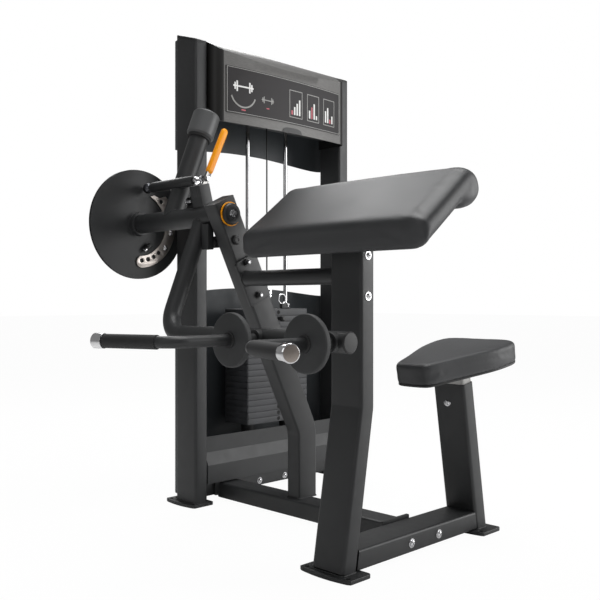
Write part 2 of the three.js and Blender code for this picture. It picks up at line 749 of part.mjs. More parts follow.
function headerShroud() {
  const back = TOWER_BACK_X - OVERRUN;
  const body = common(
    prism('z', hoodPlan(0, TOWER_BACK_X), HOOD_BOTTOM, TOWER_HEIGHT + OVERRUN),
    prism('y', hoodProfile(0, HOOD_BOTTOM - OVERRUN, back), INNER_START_Y - OVERRUN,
        INNER_END_Y + OVERRUN),
  );
  const hollow = common(
    prism('z', hoodPlan(HOOD_WALL, back), HOOD_BOTTOM - OVERRUN, TOWER_HEIGHT),
    prism('y', hoodProfile(HOOD_WALL, HOOD_BOTTOM - 2 * OVERRUN, back - OVERRUN), INNER_START_Y - OVERRUN,
        INNER_END_Y + OVERRUN),
  );
  const slot = prism('x', rectangle(
    INNER_START_Y - OVERRUN, HOOD_BOTTOM - OVERRUN,
    INNER_END_Y + OVERRUN, HEADER_BEAM_BOTTOM + HEADER_BEAM_HEIGHT + SEAT_GAP,
  ), STACK_X - HEADER_BEAM_WIDTH / 2 - SEAT_GAP, STACK_X + HEADER_BEAM_WIDTH / 2 + SEAT_GAP);
  return cut(body, hollow, slot);
}

function placard() {
  const half = HOOD_BOW_HALF - PLACARD_END_INSET;
  const outline = [
    ...bowedFront(SEAT_GAP, half, HOOD_BOW_STEPS),
    ...bowedFront(SEAT_GAP + PLACARD_THICKNESS, half, HOOD_BOW_STEPS).reverse(),
  ];
  return prism('z', outline, PLACARD_BOTTOM, PLACARD_TOP);
}

// Rear shields: a sheet that bows out behind the uprights, with an arched edge
function rearShield(bottomAt, topAt) {
  const half = UPRIGHT_SPACING / 2 + UPRIGHT_DEPTH / 2 - SHIELD_END_INSET;
  const bowed = (angle, depth, reach) => {
    const sine = Math.abs(Math.sin(angle)) ** (2 / SHIELD_ROUNDNESS_SHARE);
    const cosine = Math.sign(Math.cos(angle)) * Math.abs(Math.cos(angle)) ** (2 / SHIELD_ROUNDNESS_SHARE);
    return { x: TOWER_BACK_X - SEAT_GAP - depth * sine, y: TOWER_MIDDLE_Y - reach * cosine };
  };
  const rings = Array.from({ length: SHIELD_STEPS + 1 }, (_, i) => {
    const angle = Math.PI * i / SHIELD_STEPS;
    const outer = bowed(angle, SHIELD_DEPTH, half);
    const inner = bowed(angle, SHIELD_DEPTH - SHIELD_THICKNESS, half - SHIELD_THICKNESS);
    const arch = SHIELD_ARCH * Math.cos((outer.y - TOWER_MIDDLE_Y) / half * QUARTER_TURN);
    return [
      new THREE.Vector3(outer.x, outer.y, bottomAt(arch)),
          new THREE.Vector3(outer.x, outer.y, topAt(arch)),
      new THREE.Vector3(inner.x, inner.y, topAt(arch)),
          new THREE.Vector3(inner.x, inner.y, bottomAt(arch)),
    ];
  });
  return loft(rings);
}

// Weight stack: plates, head plate, selector rod and pin
const guideYs = [TOWER_MIDDLE_Y - GUIDE_SPACING / 2, TOWER_MIDDLE_Y + GUIDE_SPACING / 2];
const plateTop = (number) => STACK_TOP - (number - 1) * PLATE_PITCH;

function plate(bottom, top, inset = 0) {
  const outline = roundedRectangle(
    PLATE_DEPTH - 2 * inset, PLATE_LENGTH - 2 * inset, PLATE_CORNER, STACK_X, TOWER_MIDDLE_Y, 1);
  const guides = guideYs.map((y) => circle(GUIDE_RADIUS + GUIDE_HOLE_CLEARANCE, SMALL_FACETS, STACK_X,
      y));
  const centre = circle(SELECTOR_ROD_RADIUS + RUNNING_GAP, SMALL_FACETS, STACK_X, TOWER_MIDDLE_Y);
  return prism('z', outline, bottom, top, [...guides, centre]);
}

function lowerPlates() {
  const count = PLATE_COUNT - SINGLE_PLATES;
  const discs = Array.from({ length: count }, (_, i) => {
    const bottom = STACK_BOTTOM + i * PLATE_PITCH;
    return plate(bottom, bottom + PLATE_PITCH - (i + 1 < count ? PLATE_GROOVE_HEIGHT : SEAT_GAP));
  });
  return join(plate(STACK_BOTTOM, STACK_BOTTOM + count * PLATE_PITCH - SEAT_GAP, PLATE_GROOVE_DEPTH),
      ...discs);
}

const pinnedPlateMiddle = plateTop(1) - PLATE_PITCH / 2;

function pinnedPlate() {
  const hole = at(rod('x', PIN_RADIUS + RUNNING_GAP, STACK_X, -TOWER_SETBACK + OVERRUN, SMALL_FACETS), 0,
      TOWER_MIDDLE_Y, pinnedPlateMiddle);
  return cut(plate(plateTop(2) + SEAT_GAP, plateTop(1) - SEAT_GAP), hole);
}

function selectorRod() {
  const flange = HEAD_TOP + SEAT_GAP;
  const stud = flange + SELECTOR_FLANGE_HEIGHT;
  const clevis = stud + STUD_LENGTH;
  const body = turned('z', [
    [0, STACK_BOTTOM + SELECTOR_ROD_FOOT], [SELECTOR_ROD_RADIUS, STACK_BOTTOM + SELECTOR_ROD_FOOT],
    [SELECTOR_ROD_RADIUS, flange], [SELECTOR_FLANGE_RADIUS, flange], [SELECTOR_FLANGE_RADIUS, stud],
    [STUD_RADIUS, stud], [STUD_RADIUS, clevis], [CLEVIS_RADIUS, clevis],
    [CLEVIS_RADIUS, clevis + CLEVIS_LENGTH], [0, clevis + CLEVIS_LENGTH],
  ], SMALL_FACETS);
  const hole = rod('x', PIN_RADIUS + RUNNING_GAP, -PIN_DEPTH + PIN_RADIUS, SELECTOR_ROD_RADIUS + OVERRUN,
      SMALL_FACETS);
  return at(cut(body, at(hole, 0, 0, pinnedPlateMiddle)), STACK_X, TOWER_MIDDLE_Y, 0);
}

const CLEVIS_TOP = HEAD_TOP + SEAT_GAP + SELECTOR_FLANGE_HEIGHT + STUD_LENGTH + CLEVIS_LENGTH;

function selectorPin() {
  const face = -TOWER_SETBACK + SEAT_GAP;
  return at(turned('x', [
    [0, STACK_X], [PIN_RADIUS, STACK_X], [PIN_RADIUS, face],
    [KNOB_RADIUS * 2 / 3, face], [KNOB_RADIUS * 2 / 3, face + KNOB_LENGTH / 3],
    [KNOB_RADIUS, face + KNOB_LENGTH / 2], [KNOB_RADIUS, face + KNOB_LENGTH * 5 / 6],
    [KNOB_RADIUS * 5 / 6, face + KNOB_LENGTH], [0, face + KNOB_LENGTH],
  ], SMALL_FACETS), 0, TOWER_MIDDLE_Y, pinnedPlateMiddle);
}

function guideRod(y) {
  return at(rod('z', GUIDE_RADIUS, TOWER_RAIL_TOP + SEAT_GAP, HEADER_BEAM_BOTTOM - SEAT_GAP,
      SMALL_FACETS), STACK_X, y, 0);
}

function stackCushion(y) {
  const bore = GUIDE_RADIUS + RUNNING_GAP;
  const top = STACK_BOTTOM - SEAT_GAP;
  const shoulder = top - CUSHION_HEIGHT;
  const bottom = TOWER_RAIL_TOP + SEAT_GAP;
  return at(turned('z', [
    [bore, bottom], [SPACER_RADIUS, bottom], [SPACER_RADIUS, shoulder],
    [CUSHION_RADIUS, shoulder], [CUSHION_RADIUS, top], [bore, top], [bore, bottom],
  ], TUBE_FACETS), STACK_X, y, 0);
}

// Cable: up from the cam, over two pulleys and down to the stack, in one upright plane
const cableStart = new THREE.Vector3(CAM_X, CAM_CABLE_RADIUS, PIVOT_HEIGHT);
const cableEnd = new THREE.Vector3(STACK_X, TOWER_MIDDLE_Y, PULLEY_HEIGHT);
const cableHeading = cableEnd.clone().sub(cableStart).setZ(0).normalize();
const cablePlaneNormal = cableHeading.clone().cross(axisZ);
const frontPulley = cableStart.clone().setZ(PULLEY_HEIGHT).addScaledVector(cableHeading, PULLEY_RADIUS);
const rearPulley = cableEnd.clone().addScaledVector(cableHeading, -PULLEY_RADIUS);
const pulleyDistance = frontPulley.distanceTo(rearPulley);

function cableArc(centre, from, to) {
  return arc(0, 0, PULLEY_RADIUS, from, to, CABLE_ARC_STEPS).map(({ x, y }) => (
    centre.clone().addScaledVector(cableHeading, x).addScaledVector(axisZ, y)));
}

function cableRun() {
  const path = [cableStart, ...cableArc(frontPulley, Math.PI, QUARTER_TURN),
      ...cableArc(rearPulley, QUARTER_TURN, 0)];
  return tube(circle(CABLE_RADIUS, CABLE_FACETS), null, stations(path, cablePlaneNormal));
}

function cableStackRun() {
  const bottom = CLEVIS_TOP + SEAT_GAP;
  return at(rod('z', CABLE_RADIUS, bottom, PULLEY_HEIGHT - SEAT_GAP, CABLE_FACETS), STACK_X,
      TOWER_MIDDLE_Y, 0);
}

const alongPulleys = new THREE.Matrix4().makeBasis(cablePlaneNormal, cableHeading, axisZ)
    .setPosition(frontPulley.x, frontPulley.y, 0);

function pulley() {
  const groove = PULLEY_RADIUS - CABLE_RADIUS - RUNNING_GAP;
  const rim = PULLEY_RADIUS + PULLEY_RIM;
  const half = PULLEY_WIDTH / 2;
  const floor = CABLE_RADIUS + 2 * RUNNING_GAP;
  const web = PULLEY_WEB / 2;
  const bore = PULLEY_PIN_RADIUS + RUNNING_GAP;
  const webRim = groove - PULLEY_RIM;
  return turned('x', [
    [bore, -half], [PULLEY_HUB_RADIUS, -half], [PULLEY_HUB_RADIUS, -web], [webRim, -web], [webRim, -half],
    [rim, -half], [groove, -floor], [groove, floor], [rim, half],
    [webRim, half], [webRim, web], [PULLEY_HUB_RADIUS, web], [PULLEY_HUB_RADIUS, half], [bore, half],
        [bore, -half],
  ], ROUND_FACETS);
}

const pulleyAt = (along) => pulley().applyMatrix4(new THREE.Matrix4().makeTranslation(0, along,
    PULLEY_HEIGHT))
  .applyMatrix4(alongPulleys);

function pulleyCarrier() {
  const inner = PULLEY_WIDTH / 2 + CHEEK_SIDE_GAP;
  const outer = inner + CHEEK_THICKNESS;
  const beamTop = HEADER_BEAM_BOTTOM + HEADER_BEAM_HEIGHT + SEAT_GAP;
  const cheekOutline = rectangle(-CHEEK_END, beamTop + CHEEK_BOTTOM_LIFT, pulleyDistance + CHEEK_END,
      PULLEY_HEIGHT + CHEEK_RISE);
  const web = prism('x', rectangle(CARRIER_WEB_INSET, beamTop, pulleyDistance - CARRIER_WEB_INSET,
      beamTop + CARRIER_WEB_HEIGHT), -outer, outer);
  const pins = [0, pulleyDistance].map((along) => at(rod('x', PULLEY_PIN_RADIUS, -outer, outer,
      SMALL_FACETS), 0, along, PULLEY_HEIGHT));
  const body = join(prism('x', cheekOutline, inner, outer), prism('x', cheekOutline, -outer, -inner), web,
      ...pins);
  return body.applyMatrix4(alongPulleys);
}

// Cam disc with a cable groove in its rim, and the index plate on its face
function indexHolePlaces() {
  const radius = Math.hypot(INDEX_PIN_RISE, INDEX_PIN_OFFSET);
  const low = Array.from({ length: INDEX_LOW_HOLES }, (_, i) => INDEX_START_ANGLE + INDEX_HOLE_STEP_ANGLE * i);
  const angles = [...low, INDEX_FAN_HOLE_ANGLE];
  return angles.map((angle) => new THREE.Vector2(radius * Math.cos(radians(angle)),
      radius * Math.sin(radians(angle))));
}

function camDisc() {
  const floor = CAM_CABLE_RADIUS - CABLE_RADIUS - RUNNING_GAP;
  const half = CABLE_RADIUS + 2 * RUNNING_GAP;
  const middle = CAM_X;
  return at(turned('x', [
    [AXLE_BORE, CAM_BACK_X], [CAM_RADIUS, CAM_BACK_X], [CAM_RADIUS, middle - half],
        [floor, middle - half],
    [floor, middle + half], [CAM_RADIUS, middle + half], [CAM_RADIUS, CAM_FACE_X],
    [CAM_COLLAR_RADIUS, CAM_FACE_X], [CAM_COLLAR_RADIUS, CAM_FACE_X + CAM_COLLAR_LENGTH],
    [AXLE_BORE, CAM_FACE_X + CAM_COLLAR_LENGTH], [AXLE_BORE, CAM_BACK_X],
  ], 2 * ROUND_FACETS), 0, 0, PIVOT_HEIGHT);
}

function indexPlate() {
  const from = radians(INDEX_START_ANGLE);
  const to = radians(INDEX_END_ANGLE);
  const middle = (INDEX_INNER + INDEX_OUTER) / 2;
  const half = (INDEX_OUTER - INDEX_INNER) / 2;
  const roundEnd = arc(middle * Math.cos(from), middle * Math.sin(from), half, from + Math.PI,
      from + FULL_TURN, CORNER_FACETS * 2);
  const outline = [
    ...roundEnd.slice(0, -1),
    ...arc(0, 0, INDEX_OUTER, from, to, INDEX_STEPS),
    ...INDEX_FAN_SHARES.map(([angle, reach]) => new THREE.Vector2(INDEX_OUTER * reach, 0)
      .rotateAround(new THREE.Vector2(), radians(angle))),
    ...arc(0, 0, INDEX_INNER, radians(INDEX_TIP_ANGLE), to, INDEX_FAN_STEPS),
    ...arc(0, 0, INDEX_INNER, to, from, INDEX_STEPS).slice(1, -1),
  ];
  const holes = indexHolePlaces().map(({ x, y }) => circle(INDEX_HOLE_RADIUS, SMALL_FACETS, x, y));
  return at(prism('x', outline, CAM_FACE_X + SEAT_GAP, CAM_FACE_X + SEAT_GAP + INDEX_THICKNESS - SEAT_GAP,
      holes), 0, 0, PIVOT_HEIGHT);
}

// Pivot axle and its cap on the diagonal post
function pivotAxle() {
  const flange = CAM_BACK_X - RUNNING_GAP;
  return at(turned('x', [
    [0, flange - AXLE_FLANGE], [AXLE_FLANGE_RADIUS, flange - AXLE_FLANGE], [AXLE_FLANGE_RADIUS, flange],
    [AXLE_RADIUS, flange], [AXLE_RADIUS, DIAGONAL_FACE_X], [0, DIAGONAL_FACE_X],
  ]), 0, 0, PIVOT_HEIGHT);
}

function pivotCap() {
  const base = DIAGONAL_FACE_X + SEAT_GAP;
  const top = base + PIVOT_CAP_THICKNESS;
  return at(turned('x', [
    [0, base], [PIVOT_CAP_RADIUS, base], [PIVOT_CAP_RADIUS, base + PIVOT_RING_THICKNESS],
    [PIVOT_CAP_RADIUS - PIVOT_CAP_EDGE, base + PIVOT_RING_THICKNESS],
    [PIVOT_CAP_RADIUS - PIVOT_CAP_EDGE, top - PIVOT_CAP_EDGE],
        [PIVOT_CAP_RADIUS - 2 * PIVOT_CAP_EDGE, top], [0, top],
  ]), 0, 0, PIVOT_HEIGHT);
}

// Arm hub: the turning tube, with the block of the release lever on top and the stop lug below
function armHub() {
  const bore = AXLE_RADIUS + RUNNING_GAP;
  const tubeBody = turned('x', [
    [bore, HUB_START_X], [bore, HUB_START_X - HUB_BUSH_LENGTH], [HUB_BORE, HUB_START_X - HUB_BUSH_LENGTH],
    [HUB_BORE, HUB_END_X + HUB_BUSH_LENGTH], [bore, HUB_END_X + HUB_BUSH_LENGTH], [bore, HUB_END_X],
    [HUB_RADIUS, HUB_END_X], [HUB_RADIUS, HUB_START_X], [bore, HUB_START_X],
  ]);
  const root = (HUB_RADIUS + HUB_BORE) / 2;
  const blockFrom = -RELEASE_X - RELEASE_BLOCK_WIDTH / 2;
  const half = RELEASE_BLOCK_DEPTH / 2;
  const blockOutline = rectangle(-half, RELEASE_BLOCK_ROOT, half, RELEASE_BLOCK_HEAD)
    .map((point) => point.rotateAround(new THREE.Vector2(), radians(RELEASE_BLOCK_LEAN)));
  const block = at(prism('x', blockOutline, blockFrom, blockFrom + RELEASE_BLOCK_WIDTH), 0,
      RELEASE_BLOCK_SHIFT, 0);
  const pocket = prism('x',
    rectangle(-RELEASE_POCKET_DEPTH / 2, RELEASE_BLOCK_TOP - RELEASE_POCKET_DROP,
        RELEASE_POCKET_DEPTH / 2, RELEASE_BLOCK_HEAD + 2 * OVERRUN),
    -RELEASE_X - RELEASE_POCKET_WIDTH / 2, -RELEASE_X + RELEASE_POCKET_WIDTH / 2);
  const pinBore = at(rod('y', RELEASE_PIN_RADIUS + RUNNING_GAP, -RELEASE_BLOCK_DEPTH, RELEASE_BLOCK_DEPTH,
      SMALL_FACETS),
    -RELEASE_X, 0, RELEASE_BLOCK_TOP - RELEASE_PIVOT_DROP);
  const boreTool = rod('x', HUB_BORE, blockFrom - OVERRUN, blockFrom + RELEASE_BLOCK_WIDTH + OVERRUN);
  const lugFrom = HUB_START_X - OVERRUN - LUG_WIDTH;
  const lug = cut(
    prism('x', rectangle(lugFace() - LUG_THICKNESS, -LUG_REACH, lugFace(), -root + OVERRUN), lugFrom,
        lugFrom + LUG_WIDTH),
    rod('x', root, lugFrom - OVERRUN, lugFrom + LUG_WIDTH + OVERRUN),
  );
  return at(join(tubeBody, cut(block, pocket, pinBore, boreTool), lug), 0, 0, PIVOT_HEIGHT);
}

function lugFace() {
  return -LUG_THICKNESS / 2;
}

function stopBracket() {
  const padEnd = lugFace() + SEAT_GAP;
  const padX = HUB_START_X - OVERRUN - LUG_WIDTH / 2;
  const back = padEnd + STOP_PAD_LENGTH;
  const start = DIAGONAL_BACK_X - SEAT_GAP;
  const centre = -STOP_DROP - STOP_HEIGHT / 2;
  const arm = prism('x', rectangle(back, centre - STOP_HEIGHT / 2, back + STOP_PLATE,
      centre + STOP_HEIGHT / 2), start - STOP_WIDTH, start);
  const pad = at(rod('y', STOP_PAD_RADIUS, padEnd, back + WELD_SINK, TUBE_FACETS), padX, 0, centre);
  return at(join(arm, pad), 0, 0, PIVOT_HEIGHT);
}

// Counterweight tube with the barrel of the index pin welded to it
const armPoint = (x, reach) => pivot.clone().addScaledVector(leverDirection, reach).setX(x);
const indexAxis = { y: INDEX_PIN_OFFSET, z: PIVOT_HEIGHT + INDEX_PIN_RISE };

function counterweightTube() {
  const path = [armPoint(-COUNTERWEIGHT_X, 0),
      armPoint(-COUNTERWEIGHT_X, -COUNTERWEIGHT_REACH + COUNTERWEIGHT_LENGTH - COUNTERWEIGHT_SOCKET)];
  const places = stations(path, axisX);
  const shell = tube(circle(COUNTERWEIGHT_TUBE_RADIUS, TUBE_FACETS), null, places);
  const core = tube(circle(COUNTERWEIGHT_TUBE_RADIUS - COUNTERWEIGHT_TUBE_WALL, TUBE_FACETS), null,
    stations([path[0], armPoint(-COUNTERWEIGHT_X, -COUNTERWEIGHT_REACH)], axisX));
  const barrel = at(rod('x', BARREL_RADIUS, -BARREL_END, -BARREL_START, TUBE_FACETS), 0, indexAxis.y,
      indexAxis.z);
  const saddle = at(rod('x', HUB_RADIUS + SEAT_GAP, -COUNTERWEIGHT_X - 2 * HUB_RADIUS,
      -COUNTERWEIGHT_X + 2 * HUB_RADIUS), 0, 0, PIVOT_HEIGHT);
  const bore = at(rod('x', PLUNGER_RADIUS + RUNNING_GAP, -BARREL_END - OVERRUN, -BARREL_START + OVERRUN,
      SMALL_FACETS),
    0, indexAxis.y, indexAxis.z);
  return cut(join(shell, barrel), core, saddle, bore);
}

function indexCollar() {
  const end = -BARREL_END - SEAT_GAP;
  const bore = PLUNGER_RADIUS + RUNNING_GAP;
  const neck = end - COLLAR_NECK;
  const ball = neck - COLLAR_RADIUS;
  const face = end - COLLAR_LENGTH;
  const round = arc(0, 0, COLLAR_RADIUS, Math.PI - QUARTER_TURN / 3, QUARTER_TURN / 3, CORNER_FACETS * 2)
    .map(({ x, y }) => [y, ball + x]);
  return at(turned('x', [
    [bore, face], [bore + COLLAR_WALL, face], ...round, [COLLAR_NECK, neck], [COLLAR_NECK, end],
        [bore, end], [bore, face],
  ], TUBE_FACETS), 0, indexAxis.y, indexAxis.z);
}

function counterweight() {
  const bore = COUNTERWEIGHT_TUBE_RADIUS + SEAT_GAP;
  const body = turned('z', [
    [bore, 0], [COUNTERWEIGHT_RADIUS - COUNTERWEIGHT_EDGE, 0], [COUNTERWEIGHT_RADIUS, COUNTERWEIGHT_EDGE],
    [COUNTERWEIGHT_RADIUS, COUNTERWEIGHT_LENGTH - COUNTERWEIGHT_EDGE],
    [COUNTERWEIGHT_RADIUS - COUNTERWEIGHT_EDGE, COUNTERWEIGHT_LENGTH], [0, COUNTERWEIGHT_LENGTH],
    [0, COUNTERWEIGHT_SOCKET + SEAT_GAP], [bore, COUNTERWEIGHT_SOCKET + SEAT_GAP], [bore, 0],
  ]);
  body.rotateX(-radians(LEVER_ANGLE));
  const base = armPoint(-COUNTERWEIGHT_X, -COUNTERWEIGHT_REACH + COUNTERWEIGHT_LENGTH);
  return at(body, base.x, base.y, base.z);
}

// Lever arm: the leg, the crossbar and the two bosses that hold the handles
const crossbar = armPoint(0, LEVER_REACH);

function leverArm() {
  const end = HANDLE_SPREAD + CROSSBAR_OVERHANG;
  const corners = [armPoint(-LEVER_X, LEVER_ROOT), armPoint(-LEVER_X, LEVER_REACH),
      crossbar.clone().setX(end)];
  const planeNormal = leverDirection.clone().cross(axisX);
  const places = stations(roundedPath(corners, LEVER_BEND, BEND_STEPS + 2), planeNormal);
  const bar = tube(circle(LEVER_RADIUS, TUBE_FACETS), null, places);
  const core = tube(circle(LEVER_RADIUS - LEVER_WALL, TUBE_FACETS), null,
    stations(roundedPath([corners[0], corners[1], crossbar.clone().setX(end - LEVER_WALL)], LEVER_BEND,
        BEND_STEPS + 2), planeNormal));
  const bossPlaces = [-HANDLE_SPREAD, HANDLE_SPREAD];
  const bosses = bossPlaces.map((x) => at(rod('y', BOSS_RADIUS, -BOSS_LENGTH / 2, BOSS_LENGTH / 2,
      TUBE_FACETS), x, crossbar.y, crossbar.z));
  const bores = bossPlaces.map((x) => at(rod('y', HANDLE_RADIUS + RUNNING_GAP, -BOSS_LENGTH, BOSS_LENGTH,
      TUBE_FACETS), x, crossbar.y, crossbar.z));
  const saddle = at(rod('x', HUB_RADIUS + SEAT_GAP, -LEVER_X - 2 * HUB_RADIUS, -LEVER_X + 2 * HUB_RADIUS),
      0, 0, PIVOT_HEIGHT);
  return cut(join(bar, ...bosses), core, saddle, ...bores);
}

// Release lever, its grip and the index pin that it draws
const releasePivotZ = RELEASE_BLOCK_TOP - RELEASE_PIVOT_DROP;
const releaseTurn = -radians(RELEASE_LEAN);

function alongRelease(outline) {
  return outline.map(({ x, y }) => new THREE.Vector2(
    x * Math.cos(releaseTurn) - y * Math.sin(releaseTurn),
    releasePivotZ + x * Math.sin(releaseTurn) + y * Math.cos(releaseTurn),
  ));
}

function releaseLever() {
  const half = RELEASE_SHANK_WIDTH / 2;
  const outline = [
    ...arc(0, 0, half, Math.PI, FULL_TURN, CORNER_FACETS * 2),
    ...arc(0, RELEASE_LENGTH - half, half, 0, Math.PI, CORNER_FACETS * 2),
  ];
  const slab = prism('x', alongRelease(outline), -RELEASE_X - RELEASE_PLATE / 2,
      -RELEASE_X + RELEASE_PLATE / 2);
  const pinHole = rod('x', RELEASE_HOLE_RADIUS, -RELEASE_X - RELEASE_PLATE, -RELEASE_X + RELEASE_PLATE,
      SMALL_FACETS);
  const hinge = at(rod('y', RELEASE_PIN_RADIUS, -RELEASE_HINGE_LENGTH / 2, RELEASE_HINGE_LENGTH / 2,
      SMALL_FACETS),
    -RELEASE_X, 0, releasePivotZ);
  return at(join(cut(slab, at(pinHole, 0, INDEX_PIN_OFFSET, INDEX_PIN_RISE)), hinge), 0, 0, PIVOT_HEIGHT);
}

function releaseGrip() {
  const stadium = (width, from, to) => [
    ...arc(0, from + width / 2, width / 2, Math.PI, FULL_TURN, CORNER_FACETS * 2),
    ...arc(0, to - width / 2, width / 2, 0, Math.PI, CORNER_FACETS * 2),
  ];
  const half = RELEASE_GRIP_THICKNESS / 2;
  const sleeve = prism('x', alongRelease(stadium(RELEASE_GRIP_WIDTH, RELEASE_GRIP_START,
      RELEASE_GRIP_START + RELEASE_GRIP_LENGTH)),
    -RELEASE_X - half, -RELEASE_X + half);
  const slotHalf = RELEASE_PLATE / 2 + SEAT_GAP;
  const slot = prism('x', alongRelease(stadium(RELEASE_SHANK_WIDTH + 2 * SEAT_GAP,
      -RELEASE_SHANK_WIDTH / 2, RELEASE_LENGTH + SEAT_GAP)),
    -RELEASE_X - slotHalf, -RELEASE_X + slotHalf);
  return at(cut(sleeve, slot), 0, 0, PIVOT_HEIGHT);
}

function indexPin() {
  const head = -RELEASE_X + RELEASE_PLATE / 2 + SEAT_GAP;
  const shoulder = -COUNTERWEIGHT_X + COUNTERWEIGHT_TUBE_RADIUS;
  const nose = CAM_FACE_X + INDEX_THICKNESS + PIN_STANDOFF;
  return at(turned('x', [
    [0, nose], [PLUNGER_RADIUS - PLUNGER_EDGE, nose], [PLUNGER_RADIUS, nose + PLUNGER_EDGE],
        [PLUNGER_RADIUS, shoulder],
    [PIN_ROD_RADIUS, shoulder], [PIN_ROD_RADIUS, head], [PIN_HEAD_RADIUS, head],
    [PIN_HEAD_RADIUS, head + PIN_HEAD_LENGTH], [0, head + PIN_HEAD_LENGTH],
  ], SMALL_FACETS), 0, indexAxis.y, indexAxis.z);
}

// Handles: a stub through the boss, a guard disc, a bend outwards, a grip and its end cap
const outward = (side) => new THREE.Vector3(
  side * Math.sin(radians(HANDLE_ANGLE)), -Math.cos(radians(HANDLE_ANGLE)), 0);
const handleBend = (side) => new THREE.Vector3(side * HANDLE_SPREAD, -HANDLE_BEND_Y, crossbar.z);
const bendSetback = HANDLE_BEND * Math.tan(radians(HANDLE_ANGLE) / 2);

function handlePlaces(side) {
  const root = handleBend(side).setY(-HANDLE_BACK);
  const end = handleBend(side).addScaledVector(outward(side), HANDLE_LENGTH);
  return stations(roundedPath([root, handleBend(side), end], HANDLE_BEND), axisZ);
}

function handleBar(side) {
  const bar = tube(circle(HANDLE_RADIUS, TUBE_FACETS), null, handlePlaces(side));
  const core = tube(circle(HANDLE_RADIUS - HANDLE_WALL, TUBE_FACETS), null, handlePlaces(side));
  const nutFrom = crossbar.y + BOSS_LENGTH / 2 + RUNNING_GAP;
  const nut = at(rod('y', HANDLE_NUT_RADIUS, nutFrom, nutFrom + HANDLE_NUT_LENGTH, NUT_FACETS),
    side * HANDLE_SPREAD, 0, crossbar.z);
  return join(cut(bar, core), cut(nut,
      at(rod('y', HANDLE_RADIUS - WELD_SINK, nutFrom - OVERRUN, nutFrom + OVERRUN * 2, TUBE_FACETS),
          side * HANDLE_SPREAD, 0, crossbar.z)));
}

function guardDisc(side) {
  const bore = HANDLE_RADIUS + SEAT_GAP;
  const front = -GUARD_FACE;
  const back = front + GUARD_THICKNESS;
  return at(turned('y', [
    [bore, front], [GUARD_RADIUS - GUARD_EDGE, front], [GUARD_RADIUS, front + GUARD_EDGE],
    [GUARD_RADIUS, back - GUARD_EDGE], [GUARD_RADIUS - GUARD_EDGE, back], [bore, back], [bore, front],
  ]), side * HANDLE_SPREAD, 0, crossbar.z);
}

function grip(side) {
  const start = handleBend(side).addScaledVector(outward(side), bendSetback + SEAT_GAP);
  const end = handleBend(side).addScaledVector(outward(side), HANDLE_LENGTH - GRIP_END_CAP);
  return roundTube(GRIP_RADIUS, GRIP_RADIUS - HANDLE_RADIUS - SEAT_GAP, stations([start, end], axisZ));
}

function gripCap(side) {
  const bore = HANDLE_RADIUS + SEAT_GAP;
  const length = GRIP_END_CAP + GRIP_CAP_EDGE;
  const body = turned('y', [
    [bore, SEAT_GAP], [GRIP_CAP_RADIUS, SEAT_GAP], [GRIP_CAP_RADIUS, length],
    [GRIP_CAP_RADIUS - GRIP_CAP_EDGE, length + GRIP_CAP_EDGE], [0, length + GRIP_CAP_EDGE],
    [0, GRIP_END_CAP + SEAT_GAP], [bore, GRIP_END_CAP + SEAT_GAP], [bore, SEAT_GAP],
  ], TUBE_FACETS);
  const place = handleBend(side).addScaledVector(outward(side), HANDLE_LENGTH - GRIP_END_CAP);
  const turn = new THREE.Quaternion().setFromUnitVectors(axisY, outward(side));
  body.applyQuaternion(turn);
  return at(body, place.x, place.y, place.z);
}

// Floor tubes
function baseRail() {
  const middle = (BASE_RAIL_BOTTOM + RAIL_TOP) / 2;
  const height = RAIL_TOP - BASE_RAIL_BOTTOM;
  const section = (inset) => roundedRectangle(BASE_RAIL_WIDTH - 2 * inset, height - 2 * inset,
      RAIL_CORNER - inset, BASE_RAIL_Y, middle);
  const from = TOWER_X + TOWER_RAIL_WIDTH / 2 + SEAT_GAP;
  const to = -SEAT_RAIL_WIDTH / 2 - SEAT_GAP;
  const half = BASE_END_PLATE_WIDTH / 2;
  const endPlate = prism('x', rectangle(BASE_RAIL_Y - half, BASE_RAIL_BOTTOM, BASE_RAIL_Y + half,
      BASE_END_PLATE_TOP), to - BASE_END_PLATE, to);
  const towerPlate = prism('x', rectangle(BASE_RAIL_Y - half, TOWER_RAIL_BOTTOM, BASE_RAIL_Y + half,
      TOWER_RAIL_TOP - SEAT_GAP),
    from, from + BASE_END_PLATE);
  return join(prism('x', section(0), from, to, [section(RAIL_WALL)]), endPlate, towerPlate);
}

const mainPostSlope = (MAIN_POST_Y - MAIN_POST_FOOT_Y) / (MAIN_POST_KNEE - FOOT_THICKNESS);
const seatPostSlope = -Math.tan(radians(SEAT_POST_LEAN));
const mainPostAngle = Math.atan(mainPostSlope);

function seatRail() {
  const middle = (BASE_RAIL_BOTTOM + RAIL_TOP) / 2;
  const height = RAIL_TOP - BASE_RAIL_BOTTOM;
  const rise = middle - FOOT_THICKNESS;
  const gap = SEAT_GAP * 2;
  const start = MAIN_POST_FOOT_Y + mainPostSlope * rise + POST_DEPTH / 2 / Math.cos(mainPostAngle) + gap;
  const halfPost = POST_DEPTH / 2 / Math.cos(radians(SEAT_POST_LEAN));
  const end = SEAT_POST_FOOT_Y + seatPostSlope * rise - halfPost - gap;
  return boxTube(SEAT_RAIL_WIDTH, height, RAIL_WALL, RAIL_CORNER,
    stations([yz(start, middle), yz(end, middle)], axisX, yz(1, -mainPostSlope), yz(1, -seatPostSlope)));
}

// Diagonal post, square at its head, with the hole of the axle
const diagonalLean = Math.atan2(DIAGONAL_FOOT_Y, PIVOT_HEIGHT - DIAGONAL_KNEE);

